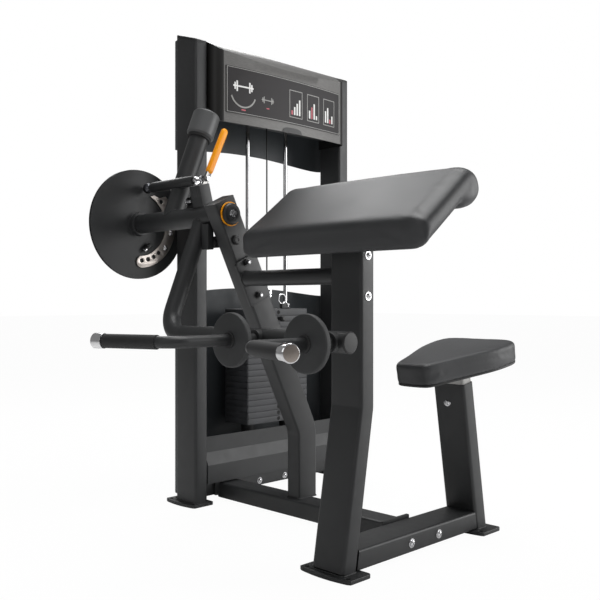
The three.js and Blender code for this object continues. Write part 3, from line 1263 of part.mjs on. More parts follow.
function diagonalPost() {
  const head = yz(-DIAGONAL_OVERHANG * Math.sin(diagonalLean),
      PIVOT_HEIGHT + DIAGONAL_OVERHANG * Math.cos(diagonalLean), -DIAGONAL_X);
  const corners = [yz(DIAGONAL_FOOT_Y, RAIL_TOP + SEAT_GAP, -DIAGONAL_X),
      yz(DIAGONAL_FOOT_Y, DIAGONAL_KNEE, -DIAGONAL_X), head];
  const path = roundedPath(corners, DIAGONAL_BEND, BEND_STEPS);
  const places = stations(path, axisX);
  const shell = boxTube(DIAGONAL_WIDTH, DIAGONAL_DEPTH, DIAGONAL_WALL, DIAGONAL_CORNER, places);
  const lidBase = head.clone().addScaledVector(yz(-Math.sin(diagonalLean), Math.cos(diagonalLean)),
      -DIAGONAL_LID);
  const lid = tube(roundedRectangle(DIAGONAL_WIDTH, DIAGONAL_DEPTH, DIAGONAL_CORNER), null,
      stations([lidBase, head], axisX));
  const bore = at(rod('x', AXLE_RADIUS + SEAT_GAP, DIAGONAL_BACK_X - OVERRUN, DIAGONAL_FACE_X + OVERRUN),
      0, 0, PIVOT_HEIGHT);
  return cut(join(shell, lid), bore);
}

function crossTube() {
  const start = DIAGONAL_FACE_X + SEAT_GAP;
  const end = -POST_WIDTH / 2 - SEAT_GAP;
  const outline = roundedRectangle(CROSS_PLATE_WIDTH, CROSS_PLATE_LENGTH, CROSS_PLATE_CORNER,
      -CROSS_PLATE_SHIFT, 0)
    .map((point) => point.rotateAround(new THREE.Vector2(), diagonalLean));
  const centreY = (PIVOT_HEIGHT - CROSS_TUBE_HEIGHT) * Math.tan(diagonalLean);
  const flange = at(prism('x', outline, start, start + CROSS_PLATE_THICKNESS), 0, centreY,
      CROSS_TUBE_HEIGHT);
  const bar = at(prism('x', circle(CROSS_TUBE_RADIUS, TUBE_FACETS),
      start + CROSS_PLATE_THICKNESS - WELD_SINK, end,
    [circle(CROSS_TUBE_RADIUS - CROSS_TUBE_WALL, TUBE_FACETS)]), 0, CROSS_TUBE_Y, CROSS_TUBE_HEIGHT);
  return join(flange, bar);
}

// Main post with its knee, and the pad's bracket inside its head
const padSlope = Math.tan(radians(PAD_SLOPE));
const padDrop = PAD_THICKNESS / Math.cos(radians(PAD_SLOPE));
const padUnderside = (y) => PAD_FRONT_TOP - padDrop + (y - PAD_FRONT_Y) * padSlope;
const plateDrop = (SEAT_GAP + PAD_PLATE) / Math.cos(radians(PAD_SLOPE));
const padFacing = yz(-padSlope, 1);

function mainPost() {
  const sink = FOOT_THICKNESS - WELD_SINK;
  const top = padUnderside(MAIN_POST_Y) - plateDrop - SEAT_GAP;
  const path = [yz(MAIN_POST_FOOT_Y - mainPostSlope * WELD_SINK, sink), yz(MAIN_POST_Y, MAIN_POST_KNEE),
      yz(MAIN_POST_Y, top)];
  const column = boxTube(POST_WIDTH, POST_DEPTH, POST_WALL, POST_CORNER,
      stations(path, axisX, axisZ, padFacing));
  return join(column, footPlate(MAIN_FOOT_LENGTH, MAIN_FOOT_WIDTH, 0, MAIN_POST_FOOT_Y));
}

function armPadBracket() {
  const top = padUnderside(MAIN_POST_Y) - SEAT_GAP / Math.cos(radians(PAD_SLOPE));
  const half = PAD_PLATE_LENGTH / 2;
  const outline = rectangle(-half, -PAD_PLATE, half, 0)
      .map((point) => point.rotateAround(new THREE.Vector2(), radians(PAD_SLOPE)));
  const flange = at(prism('x', outline, -PAD_PLATE_WIDTH / 2, PAD_PLATE_WIDTH / 2), 0, MAIN_POST_Y, top);
  const stemTop = top - PAD_PLATE / Math.cos(radians(PAD_SLOPE)) + STEM_SINK;
  const inset = POST_WALL + SEAT_GAP;
  const stem = boxTube(POST_WIDTH - 2 * inset, POST_DEPTH - 2 * inset, POST_WALL, POST_CORNER - POST_WALL,
    stations([yz(MAIN_POST_Y, stemTop - PAD_STEM_LENGTH), yz(MAIN_POST_Y, stemTop)], axisX, axisZ,
        padFacing));
  return join(flange, stem);
}

// Arm pad: a section with a rolled upper edge, drawn in towards both ends, crowned in the middle
function fillet(before, corner, after, radius, steps) {
  const into = corner.clone().sub(before).normalize();
  const out = after.clone().sub(corner).normalize();
  const turn = Math.acos(into.dot(out));
  const start = corner.clone().addScaledVector(into, -radius * Math.tan(turn / 2));
  const inward = out.clone().addScaledVector(into, -out.dot(into)).normalize();
  return Array.from({ length: steps + 1 }, (_, i) => {
    const angle = turn * i / steps;
    return start.clone().addScaledVector(into, radius * Math.sin(angle))
        .addScaledVector(inward, radius * (1 - Math.cos(angle)));
  });
}

function padSection() {
  const slope = radians(PAD_SLOPE);
  const along = new THREE.Vector2(Math.cos(slope), Math.sin(slope));
  const down = new THREE.Vector2(Math.sin(slope), -Math.cos(slope));
  const face = new THREE.Vector2(Math.sin(radians(PAD_FACE_LEAN)), -Math.cos(radians(PAD_FACE_LEAN)));
  const top = new THREE.Vector2(PAD_FRONT_Y, PAD_FRONT_TOP);
  const bottom = top.clone().addScaledVector(face, PAD_THICKNESS / face.dot(down));
  const topEnd = top.clone().addScaledVector(along, PAD_FLAT_RUN / along.x);
  const roll = topEnd.clone().addScaledVector(down, PAD_ROLL_RADIUS);
  const tuck = Math.acos((PAD_THICKNESS - PAD_ROLL_RADIUS) / PAD_ROLL_RADIUS);
  const rolled = arc(roll.x, roll.y, PAD_ROLL_RADIUS, slope - QUARTER_TURN - tuck, slope + QUARTER_TURN,
      PAD_ROLL_STEPS);
  const outline = [
    ...rolled,
    ...fillet(topEnd, top, bottom, PAD_FRONT_EDGE, PAD_EDGE_STEPS),
    ...fillet(top, bottom, rolled[0], PAD_LOW_EDGE, PAD_EDGE_STEPS),
  ];
  const front = top.clone().lerp(bottom, 1 / 2).addScaledVector(along, PAD_THICKNESS / 2);
  return { outline, spine: [front, roll] };
}

function nearestOnSegment(point, a, b) {
  const run = b.clone().sub(a);
  const share = THREE.MathUtils.clamp(point.clone().sub(a).dot(run) / run.lengthSq(), 0, 1);
  return a.clone().addScaledVector(run, share);
}

function armPad() {
  const { outline, spine } = padSection();
  const half = PAD_WIDTH / 2;
  const ends = Array.from({ length: PAD_EDGE_STEPS + 1 }, (_, i) => QUARTER_TURN * i / PAD_EDGE_STEPS);
  const edgePlaces = ends.map((angle) => ({
    x: half - PAD_END_ROUND * (1 - Math.sin(angle)), squeeze: PAD_EDGE * (1 - Math.cos(angle)),
  }));
  const middlePlaces = Array.from({ length: PAD_LENGTH_STEPS - 1 }, (_, i) => ({
    x: (half - PAD_END_ROUND) * (1 - 2 * (i + 1) / PAD_LENGTH_STEPS), squeeze: 0,
  }));
  const places = [...edgePlaces.reverse(), ...middlePlaces,
      ...edgePlaces.reverse().map(({ x, squeeze }) => ({ x: -x, squeeze }))];
  const rings = places.map(({ x, squeeze }) => outline.map((point) => {
    const core = nearestOnSegment(point, spine[0], spine[1]);
    const out = point.clone().sub(core);
    const reach = out.length();
    const crown = PAD_CROWN * (1 - (x / half) ** 2) - PAD_CROWN;
    const moved = core.addScaledVector(out, (reach - squeeze + (out.y > 0 ? crown : 0)) / reach);
    const pull = PAD_SIDE_PULL * (1 - Math.min(1, reach / PAD_THICKNESS)) * Math.abs(x) / half;
    return new THREE.Vector3(x - Math.sign(x) * pull, moved.x, moved.y);
  }));
  return at(loft(rings), PAD_SIDE_SHIFT, 0, 0);
}

// Seat: the leaning post, the tube that slides in it, and the pad square to them
const seatUp = yz(-Math.sin(radians(SEAT_POST_LEAN)), Math.cos(radians(SEAT_POST_LEAN)));
const seatPostTop = yz(SEAT_POST_FOOT_Y + seatPostSlope * (SEAT_POST_TOP - FOOT_THICKNESS),
    SEAT_POST_TOP);
const seatPoint = (lift) => seatPostTop.clone().addScaledVector(seatUp, lift);

function seatPost() {
  const bottom = yz(SEAT_POST_FOOT_Y - seatPostSlope * WELD_SINK, FOOT_THICKNESS - WELD_SINK);
  const column = boxTube(POST_WIDTH, POST_DEPTH, POST_WALL, POST_CORNER,
      stations([bottom, seatPostTop], axisX, axisZ));
  return join(column, footPlate(SEAT_FOOT_LENGTH, SEAT_FOOT_WIDTH, 0,
      SEAT_POST_FOOT_Y - SEAT_FOOT_SHIFT));
}

function seatSlideTube() {
  const inset = POST_WALL + SEAT_TUBE_CLEARANCE;
  const plateBase = SEAT_PAD_LIFT - SEAT_GAP - SEAT_PLATE;
  const stem = boxTube(POST_WIDTH - 2 * inset, POST_DEPTH - 2 * inset, POST_WALL, POST_CORNER - POST_WALL,
    stations([seatPoint(plateBase + STEM_SINK - SEAT_TUBE_LENGTH), seatPoint(plateBase + STEM_SINK)],
        axisX));
  const flange = tube(roundedRectangle(SEAT_PLATE_WIDTH, SEAT_PLATE_LENGTH, POST_CORNER), null,
    stations([seatPoint(plateBase), seatPoint(plateBase + SEAT_PLATE)], axisX));
  return join(stem, flange);
}

// Seat outline: a blunt nose, flanks that widen to the back and clipped rear corners, as shares of width
// and length
const SEAT_OUTLINE_SHARES = [
  [0.14, 0.532], [0.2, 0.512], [0.236, 0.462], [0.312, 0.286], [0.43, 0.03],
  [0.476, -0.09], [0.5, -0.22], [0.497, -0.345], [0.45, -0.425], [0.35, -0.46],
];

function seatOutline() {
  const left = SEAT_OUTLINE_SHARES.map(([x, y]) => new THREE.Vector3(x * SEAT_PAD_WIDTH,
      y * SEAT_PAD_LENGTH, 0));
  const right = left.map(({ x, y }) => new THREE.Vector3(-x, y, 0)).reverse();
  const curve = new THREE.CatmullRomCurve3([...left, ...right], true, 'centripetal');
  return curve.getSpacedPoints(SEAT_OUTLINE_STEPS).slice(0, -1);
}

function seatPad() {
  const outline = seatOutline();
  const levels = [];
  for (let i = 0; i <= SEAT_EDGE_STEPS; i += 1) {
    const angle = QUARTER_TURN * i / SEAT_EDGE_STEPS;
    levels.push({ lift: SEAT_PAD_EDGE * (1 - Math.sin(angle)),
        inset: SEAT_PAD_EDGE * (1 - Math.cos(angle)) });
  }
  const lower = levels.map(({ lift, inset }) => ({ lift, inset: inset / 2 })).reverse();
  const upper = levels.map(({ lift, inset }) => ({ lift: SEAT_PAD_THICKNESS - SEAT_PAD_CROWN - lift,
      inset }));
  const waist = { lift: SEAT_PAD_THICKNESS / 2, inset: PAD_SIDE_PULL };
  const crowns = [1 / 3, 2 / 3].map((share) => ({
    lift: SEAT_PAD_THICKNESS - SEAT_PAD_CROWN * (1 - share) ** 2,
    inset: SEAT_PAD_EDGE + share * SEAT_PAD_WIDTH / 3,
  }));
  const rings = [...lower, waist, ...upper, ...crowns].map(({ lift, inset }) => (
    outline.map(({ x, y }) => {
      const scale = Math.max(1 - inset * 2 / SEAT_PAD_WIDTH, SEAT_CENTRE_SHARE);
      const scaleLong = Math.max(1 - inset * 2 / SEAT_PAD_LENGTH, SEAT_CENTRE_SHARE);
      const place = seatPoint(SEAT_PAD_LIFT + lift).addScaledVector(axisX, x * scale);
      const forward = axisX.clone().cross(seatUp);
      return place.addScaledVector(forward, y * scaleLong);
    })));
  return loft(rings);
}

// The machine, one mesh for each piece
const machine = new THREE.Group();

function add(name, geometry, material) {
  const mesh = new THREE.Mesh(geometry, material);
  mesh.name = name;
  machine.add(mesh);
}

for (const [place, y] of [['front', FRONT_UPRIGHT_Y], ['rear', REAR_UPRIGHT_Y]]) {
  add(`upright_${place}`, upright(y), finishes.frame);
  add(`upright_cap_${place}`, uprightCap(y), finishes.plastic);
}
add('tower_base_rail', towerBaseRail(), finishes.frame);
add('lower_front_cover', lowerFrontCover(), finishes.frame);
add('header_beam', headerBeam(), finishes.frame);
add('header_shroud', headerShroud(), finishes.hood);
add('placard', placard(), finishes.placard);
add('rear_shield_upper', rearShield((arch) => UPPER_SHIELD_BOTTOM + arch, () => UPPER_SHIELD_TOP),
    finishes.shield);
add('rear_shield_lower', rearShield(() => LOWER_SHIELD_BOTTOM, (arch) => LOWER_SHIELD_TOP + arch),
    finishes.shield);
for (const [i, place] of ['front', 'rear'].entries()) {
  add(`guide_rod_${place}`, guideRod(guideYs[i]), finishes.chrome);
  add(`stack_cushion_${place}`, stackCushion(guideYs[i]), finishes.steel);
}
add('base_rail', baseRail(), finishes.frame);
add('seat_rail', seatRail(), finishes.frame);
add('diagonal_post', diagonalPost(), finishes.frame);
add('cross_tube', crossTube(), finishes.frame);
add('main_post', mainPost(), finishes.frame);
add('seat_post', seatPost(), finishes.frame);
add('arm_pad_bracket', armPadBracket(), finishes.steel);
add('arm_pad', armPad(), finishes.leatherette);
add('pivot_axle', pivotAxle(), finishes.steel);
add('pivot_cap', pivotCap(), finishes.plastic);
add('stop_bracket', stopBracket(), finishes.frame);
add('cable_run', cableRun(), finishes.cable);
add('cable_stack_run', cableStackRun(), finishes.cable);
add('pulley_carrier', pulleyCarrier(), finishes.frame);
add('pulley_front', pulleyAt(0), finishes.plastic);
add('pulley_rear', pulleyAt(pulleyDistance), finishes.plastic);
for (let number = 2; number <= SINGLE_PLATES; number += 1) {
  add(`weight_plate_${number}`, plate(plateTop(number + 1), plateTop(number) - SEAT_GAP),
      finishes.plates);
}
add('weight_plates_lower', lowerPlates(), finishes.plates);
add('weight_plate_1', pinnedPlate(), finishes.plates);
add('head_plate', plate(STACK_TOP, HEAD_TOP), finishes.plates);
add('selector_rod', selectorRod(), finishes.steel);
add('selector_pin', selectorPin(), finishes.chrome);
add('cam_disc', camDisc(), finishes.frame);
add('index_plate', indexPlate(), finishes.indexPlate);
add('arm_hub', armHub(), finishes.frame);
add('counterweight_tube', counterweightTube(), finishes.frame);
add('counterweight', counterweight(), finishes.counterweight);
add('index_collar', indexCollar(), finishes.chrome);
add('lever_arm', leverArm(), finishes.frame);
add('release_lever', releaseLever(), finishes.steel);
add('release_grip', releaseGrip(), finishes.amber);
add('index_pin', indexPin(), finishes.chrome);
for (const [hand, side] of [['right', -1], ['left', 1]]) {
  add(`handle_bar_${hand}`, handleBar(side), finishes.frame);
  add(`guard_disc_${hand}`, guardDisc(side), finishes.rubber);
  add(`grip_${hand}`, grip(side), finishes.rubber);
  add(`grip_cap_${hand}`, gripCap(side), finishes.endCap);
}
add('seat_slide_tube', seatSlideTube(), finishes.steel);
add('seat_pad', seatPad(), finishes.leatherette);

// The origin goes to the middle of the footprint, on the floor
const footprint = new THREE.Box3().setFromObject(machine, true).getCenter(new THREE.Vector3());
machine.position.set(-footprint.x, -footprint.y, 0);
machine.updateMatrixWorld(true);

export default machine;
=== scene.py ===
"""Looks of the biceps curl machine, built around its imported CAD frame."""

import math

import bmesh
import bpy
import numpy as np
from mathutils import Matrix, Vector


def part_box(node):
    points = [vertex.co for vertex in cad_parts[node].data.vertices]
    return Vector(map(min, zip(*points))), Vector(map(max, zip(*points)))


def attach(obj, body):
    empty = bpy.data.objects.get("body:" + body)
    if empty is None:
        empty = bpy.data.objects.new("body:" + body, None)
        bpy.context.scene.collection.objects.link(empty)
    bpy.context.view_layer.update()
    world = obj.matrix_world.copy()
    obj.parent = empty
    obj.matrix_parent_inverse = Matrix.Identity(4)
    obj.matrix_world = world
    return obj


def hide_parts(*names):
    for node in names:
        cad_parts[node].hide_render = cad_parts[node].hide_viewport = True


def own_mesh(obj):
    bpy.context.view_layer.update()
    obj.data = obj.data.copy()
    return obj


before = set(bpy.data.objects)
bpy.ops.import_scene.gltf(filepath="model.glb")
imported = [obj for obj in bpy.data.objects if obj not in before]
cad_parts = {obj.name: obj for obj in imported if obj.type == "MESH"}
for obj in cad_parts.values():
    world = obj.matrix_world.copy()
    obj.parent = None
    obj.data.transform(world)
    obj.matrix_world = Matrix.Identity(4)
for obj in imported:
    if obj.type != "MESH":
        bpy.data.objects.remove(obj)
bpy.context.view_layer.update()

# Maker's frame, in millimetres: X from the pad post's middle plane, Y from the pivot axis, Z from the floor
POST_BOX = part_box("main_post")
AXLE_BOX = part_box("pivot_axle")
ORIGIN = np.array([(POST_BOX[0].x + POST_BOX[1].x) / 2, (AXLE_BOX[0].y + AXLE_BOX[1].y) / 2, 0.0])
PIVOT_Z = 879.0
PIVOT = np.array([0, 0, PIVOT_Z])
TUBE_WALL = 3.0

X = np.array([1.0, 0.0, 0.0])
Y = np.array([0.0, 1.0, 0.0])
Z = np.array([0.0, 0.0, 1.0])


def leaning(angle):
    """The across and up directions of a piece tilted about X, its top going towards -Y."""
    return np.array([[0, math.cos(angle), math.sin(angle)], [0, -math.sin(angle), math.cos(angle)]])


def metres(points):
    """Points in the maker's millimetres, as metres in the row's frame."""
    return np.asarray(points, float) / 1000 + ORIGIN


# Meshes

def build(name, points, faces, crease=32):
    """A closed mesh from points in millimetres: doubles merged, faces outwards, smooth below the crease."""
    mesh = bpy.data.meshes.new(name)
    mesh.from_pydata(metres(points).tolist(), [], [list(map(int, face)) for face in faces])
    return dress_mesh(name, mesh, crease)


def dress_mesh(name, mesh, crease=32):
    """Merges a mesh's doubles, turns its faces outwards, sets its creases and links it as an object."""
    work = bmesh.new()
    work.from_mesh(mesh)
    bmesh.ops.remove_doubles(work, verts=work.verts, dist=2e-6)
    bmesh.ops.dissolve_degenerate(work, edges=work.edges, dist=1e-6)
    bmesh.ops.recalc_face_normals(work, faces=work.faces)
    work.to_mesh(mesh)
    work.free()
    mesh.shade_smooth()
    mesh.set_sharp_from_angle(angle=math.radians(crease))
    piece = bpy.data.objects.new(name, mesh)
    bpy.context.scene.collection.objects.link(piece)
    return piece


def quads(rows, columns, wrap):
    """Faces of a grid of rows by columns of points, closed round the columns where wrap is true."""
    row, column = np.meshgrid(np.arange(rows - 1), np.arange(columns if wrap else columns - 1), indexing="ij")
    after = (column + 1) % columns
    here, there = row * columns, (row + 1) * columns
    corners = [here + column, here + after, there + after, there + column]
    return np.stack(corners, -1).reshape(-1, 4)


def loft(name, rings, inner=None, crease=32):
    """A solid through rings of points, (rings, points, 3); inner rings make it a tube with a wall."""
    count = rings.shape[1]
    points = rings.reshape(-1, 3)
    faces = [list(face) for face in quads(len(rings), count, True)]
    last = (len(rings) - 1) * count
    if inner is None:
        faces += [list(range(count))[::-1], list(range(last, last + count))]
        return build(name, points, faces, crease)
    offset = len(points)
    points = np.concatenate([points, inner.reshape(-1, 3)])
    faces += [list(face + offset)[::-1] for face in quads(len(inner), count, True)]
    for start in (0, last):
        for i in range(count):
            j = (i + 1) % count
            faces.append([start + i, start + j, offset + start + j, offset + start + i])
    return build(name, points, faces, crease)


def sheet(name, front, back, crease):
    """Two grids of points, (rows, columns, 3), made the two sides of one thin closed body."""
    rows, columns = front.shape[:2]
    count = rows * columns
    faces = [list(face) for face in quads(rows, columns, False)]
    faces += [[v + count for v in face[::-1]] for face in faces]
    rim = [*range(columns), *(r * columns + columns - 1 for r in range(1, rows)),
           *range(count - 2, count - columns - 1, -1), *(r * columns for r in range(rows - 2, 0, -1))]
    faces += [[a, b, b + count, a + count] for a, b in zip(rim, rim[1:] + rim[:1])]
    return build(name, np.concatenate([front.reshape(-1, 3), back.reshape(-1, 3)]), faces, crease)


def circle(radius, facets=48):
    """Points of a circle: radius times (cosine, sine) of equal angles."""
    angle = np.linspace(0, 2 * np.pi, facets, endpoint=False)
    return radius * np.stack([np.cos(angle), np.sin(angle)], -1)


def rounded(width, depth, radius, steps=6):
    """A rectangle with quarter circles at its corners."""
    quarter = np.linspace(0, np.pi / 2, steps + 1)
    corners = [(1, 1), (-1, 1), (-1, -1), (1, -1)]
    arcs = [
        np.stack([
            sx * (width / 2 - radius) + radius * np.cos(quarter + k * np.pi / 2),
            sy * (depth / 2 - radius) + radius * np.sin(quarter + k * np.pi / 2),
        ], -1)
        for k, (sx, sy) in enumerate(corners)
    ]
    return np.concatenate(arcs)


def shrunk(width, depth, radius, inset):
    """A rounded rectangle moved in by an inset all round."""
    return rounded(width - 2 * inset, depth - 2 * inset, radius - inset)


def unit(vector):
    """The vector at length 1."""
    vector = np.asarray(vector, float)
    return vector / np.linalg.norm(vector)


def fillet(before, corner, after, radius, count):
    """That many points of an arc in a corner, from one side to the other."""
    into, out = unit(corner - before), unit(after - corner)
    turn = math.acos(np.clip(into @ out, -1, 1))
    inward = unit(out - (out @ into) * into)
    start = corner - into * radius * math.tan(turn / 2)
    angle = np.linspace(0, turn, count)[:, None]
    return start + into * radius * np.sin(angle) + inward * radius * (1 - np.cos(angle))


def bent(corners, radius, steps):
    """A path through corners with each bend a circular arc of that radius."""
    corners = np.asarray(corners, float)
    arcs = [fillet(*three, radius, steps + 1) for three in zip(corners, corners[1:], corners[2:])]
    return np.vstack([corners[:1], *arcs, corners[-1:]])


def rings_along(section, path, side, first=None, last=None):
    """A section carried along a path in one plane, mitred at each bend. side is that plane's normal."""
    path = np.asarray(path, float)
    side = np.asarray(side, float)
    rings = []
    for i, point in enumerate(path):
        before = unit(point - path[i - 1]) if i else None
        after = unit(path[i + 1] - point) if i + 1 < len(path) else None
        along = before if before is not None else after
        face = along if before is None or after is None else unit(before + after)
        if before is None and first is not None:
            face = np.asarray(first, float)
        if after is None and last is not None:
            face = np.asarray(last, float)
        axes = [v - along * (v @ face) / (along @ face) for v in (side, np.cross(side, along))]
        rings.append(point + section[:, :1] * axes[0] + section[:, 1:] * axes[1])
    return np.array(rings)


def round_tube(name, radius, path, side, wall=None, facets=48):
    """A round bar or tube carried along a path."""
    inner = None if wall is None else rings_along(circle(radius - wall, facets), path, side)
    return loft(name, rings_along(circle(radius, facets), path, side), inner)


def box_tube(name, width, depth, corner, path, side, first=None, last=None):
    """A rectangular tube with rounded corners carried along a path; width lies along side."""
    outer = rings_along(rounded(width, depth, corner), path, side, first, last)
    inner = rings_along(shrunk(width, depth, corner, TUBE_WALL), path, side, first, last)
    return loft(name, outer, inner)


def turned(name, profile, origin, axis, facets):
    """A profile of (radius, place along the axis) turned round it, closed on the axis or on itself."""
    along = unit(axis)
    first = unit(np.cross(along, Z if abs(along[2]) < 0.9 else X))
    second = np.cross(along, first)
    profile = np.asarray(profile, float)
    ring = circle(1, facets)
    outward = ring[:, :1] * first + ring[:, 1:] * second
    grid = np.asarray(origin, float) + profile[:, 1, None, None] * along + profile[:, 0, None, None] * outward
    if np.allclose(profile[0], profile[-1]):
        grid[-1] = grid[0]
    return build(name, grid.reshape(-1, 3), quads(len(profile), facets, True))


def soft_profile(points, radius, steps=5):
    """A profile whose inner corners are rounded by one radius, a smaller one where a side is short."""
    points = [np.asarray(point, float) for point in points]
    result = [points[0]]
    for before, corner, after in zip(points, points[1:], points[2:]):
        into, out = corner - before, after - corner
        turn = math.acos(np.clip(unit(into) @ unit(out), -1, 1))
        if turn < 0.2:
            result.append(corner)
            continue
        reach = min(radius * math.tan(turn / 2), np.linalg.norm(into) / 2.1, np.linalg.norm(out) / 2.1)
        start, end = corner - unit(into) * reach, corner + unit(out) * reach
        for t in np.linspace(0, 1, steps + 1):
            result.append(start * (1 - t) ** 2 + corner * 2 * t * (1 - t) + end * t ** 2)
    result.append(points[-1])
    return np.array(result)


def plate(name, outline, holes, thickness, origin, across, up, edge=0.8):
    """A flat plate: a filled curve with holes and rims rounded by edge. It grows along across x up."""
    curve = bpy.data.curves.new(name, "CURVE")
    curve.dimensions = "2D"
    curve.fill_mode = "BOTH"
    curve.extrude = (thickness / 2 - edge) / 1000
    curve.bevel_depth = edge / 1000
    curve.bevel_resolution = 2
    curve.offset = -edge / 1000
    for loop, way in [(outline, 1), *((hole, -1) for hole in holes)]:
        loop = np.asarray(loop, float)
        area = np.sum(loop[:, 0] * np.roll(loop[:, 1], -1) - loop[:, 1] * np.roll(loop[:, 0], -1))
        loop = loop if area * way > 0 else loop[::-1]
        spline = curve.splines.new("POLY")
        spline.points.add(len(loop) - 1)
        flat = np.zeros((len(loop), 4))
        flat[:, :2] = loop / 1000
        flat[:, 3] = 1
        spline.points.foreach_set("co", flat.ravel())
        spline.use_cyclic_u = True
    holder = bpy.data.objects.new(name + "_curve", curve)
    bpy.context.scene.collection.objects.link(holder)
    bpy.context.view_layer.update()
    mesh = bpy.data.meshes.new_from_object(holder.evaluated_get(bpy.context.evaluated_depsgraph_get()))
    bpy.data.objects.remove(holder)
    bpy.data.curves.remove(curve)
    across, up = unit(across), unit(up)
    normal = np.cross(across, up)
    middle = metres(np.asarray(origin, float) + normal * thickness / 2)
    rows = [[*row, spot] for row, spot in zip(np.stack([across, up, normal], -1).tolist(), middle)]
    mesh.transform(Matrix([*rows, [0, 0, 0, 1]]))
    return dress_mesh(name, mesh, 30)


def mesh_points(mesh):
    """A mesh's points as an array."""
    flat = np.empty(len(mesh.vertices) * 3)
    mesh.vertices.foreach_get("co", flat)
    return flat.reshape(-1, 3)


def joined(name, pieces):
    """Several pieces made one object."""
    meshes = [piece.data for piece in pieces]
    points = np.concatenate([mesh_points(mesh) for mesh in meshes])
    faces, offset = [], 0
    for mesh in meshes:
        faces += [[v + offset for v in polygon.vertices] for polygon in mesh.polygons]
        offset += len(mesh.vertices)
    for piece in pieces:
        bpy.data.objects.remove(piece)
    mesh = bpy.data.meshes.new(name)
    mesh.from_pydata(points.tolist(), [], faces)
    mesh.shade_smooth()
    mesh.set_sharp_from_angle(angle=math.radians(30))
    piece = bpy.data.objects.new(name, mesh)
    bpy.context.scene.collection.objects.link(piece)
    return piece


def soften_edges(piece, width, angle=35):
    """Rounds a piece's sharp edges with a Bevel modifier."""
    bevel = piece.modifiers.new("rounded edges", "BEVEL")
    bevel.width = width / 1000
    bevel.segments = 3
    bevel.limit_method = "ANGLE"
    bevel.angle_limit = math.radians(angle)
    bevel.harden_normals = True
    return piece


# Materials

class Value:
    """A socket that numbers and other sockets are reckoned with; each operation is one Math node."""

    def __init__(self, finish, socket):
        self.finish = finish
        self.socket = socket

    def math(self, operation, *others):
        return self.finish.node("ShaderNodeMath", {"operation": operation}, {
            i: value for i, value in enumerate((self, *others))})

    def __add__(self, other):
        return self.math("ADD", other)

    def __sub__(self, other):
        return self.math("SUBTRACT", other)

    def __mul__(self, other):
        return self.math("MULTIPLY", other)

    def step(self, low, high):
        """0 below low, 1 above high, smooth between."""
        return self.finish.node("ShaderNodeMapRange", {"interpolation_type": "SMOOTHSTEP"}, {
            "Value": self, "From Min": low, "From Max": high})


class Finish:
    """One procedural material, with its Principled shader and the nodes that feed it."""

    def __init__(self, name, roughness, metallic=0.0, specular=0.5):
        self.material = bpy.data.materials.new("look_" + name)
        self.material.use_nodes = True
        self.tree = self.material.node_tree
        self.shader = next(node for node in self.tree.nodes if node.type == "BSDF_PRINCIPLED")
        self.shader.inputs["Roughness"].default_value = roughness
        self.shader.inputs["Metallic"].default_value = metallic
        self.shader.inputs["Specular IOR Level"].default_value = specular
        self.place = self.node("ShaderNodeTexCoord", {}, {}, "Object")

    def node(self, kind, settings, values, output=0):
        """Adds a node, sets it, then fills its sockets with numbers, colours or links."""
        node = self.tree.nodes.new(kind)
        for key, setting in settings.items():
            setattr(node, key, setting)
        for key, value in values.items():
            if isinstance(value, Value):
                self.tree.links.new(value.socket, node.inputs[key])
            else:
                node.inputs[key].default_value = value
        return Value(self, node.outputs[output])

    def feed(self, socket, value):
        self.tree.links.new(value.socket, self.shader.inputs[socket])

    def stretched(self, scale):
        """Object coordinates times a scale for each axis."""
        return self.node("ShaderNodeMapping", {}, {"Vector": self.place, "Scale": scale})

    def noise(self, scale, detail, stretch=None):
        spot = self.place if stretch is None else self.stretched(stretch)
        return self.node("ShaderNodeTexNoise", {}, {"Vector": spot, "Scale": scale, "Detail": detail})

    def axis(self, which):
        return self.node("ShaderNodeSeparateXYZ", {}, {"Vector": self.place}, which)

    def mix(self, share, first, second):
        """A colour between two colours."""
        return self.node("ShaderNodeMix", {"data_type": "RGBA"}, {
            "Factor": share, 6: first, 7: second}, 2)

    def bump(self, height, strength, distance):
        return self.node("ShaderNodeBump", {}, {
            "Height": height, "Strength": strength, "Distance": distance})


def linear(code, scale=1.0):
    """A display colour such as 2b2b2b as the linear colour of a shader socket."""
    shares = [int(code[i:i + 2], 16) / 255 for i in (0, 2, 4)]
    return (*[scale * (c / 12.92 if c <= 0.04045 else ((c + 0.055) / 1.055) ** 2.4) for c in shares], 1.0)


def powder_coat(name, dark, light, roughness=0.46):
    """Powder-coated steel: two near tones in patches, fine orange peel and a rubbed sheen in places."""
    coat = Finish(name, roughness=roughness)
    patches = coat.noise(6.0, 4.0)
    coat.feed("Base Color", coat.mix(patches.step(0.35, 0.65), linear(dark), linear(light)))
    rub = coat.noise(34.0, 5.0)
    coat.feed("Roughness", rub * 0.16 + (roughness - 0.08))
    peel = coat.noise(900.0, 2.0)
    coat.feed("Normal", coat.bump(peel, 0.22, 0.00025))
    return coat.material


def brushed_metal(name, tone, roughness=0.3, stretch=(1.0, 1.0, 24.0)):
    """Bright metal with fine lines drawn along one direction."""
    metal = Finish(name, roughness=roughness, metallic=1.0)
    lines = metal.noise(160.0, 4.0, stretch)
    metal.feed("Base Color", metal.mix(lines.step(0.3, 0.7), linear(tone, 0.86), linear(tone)))
    metal.feed("Roughness", lines * 0.16 + (roughness - 0.08))
    metal.feed("Normal", metal.bump(lines, 0.08, 0.0002))
    return metal.material


def chrome():
    """Polished chrome with faint fingerprints in its roughness."""
    plated = Finish("chrome", roughness=0.08, metallic=1.0)
    smear = plated.noise(22.0, 5.0)
    plated.feed("Base Color", plated.mix(smear.step(0.3, 0.7), linear("c6c6c8"), linear("dededf")))
    plated.feed("Roughness", smear * 0.12 + 0.03)
    return plated.material


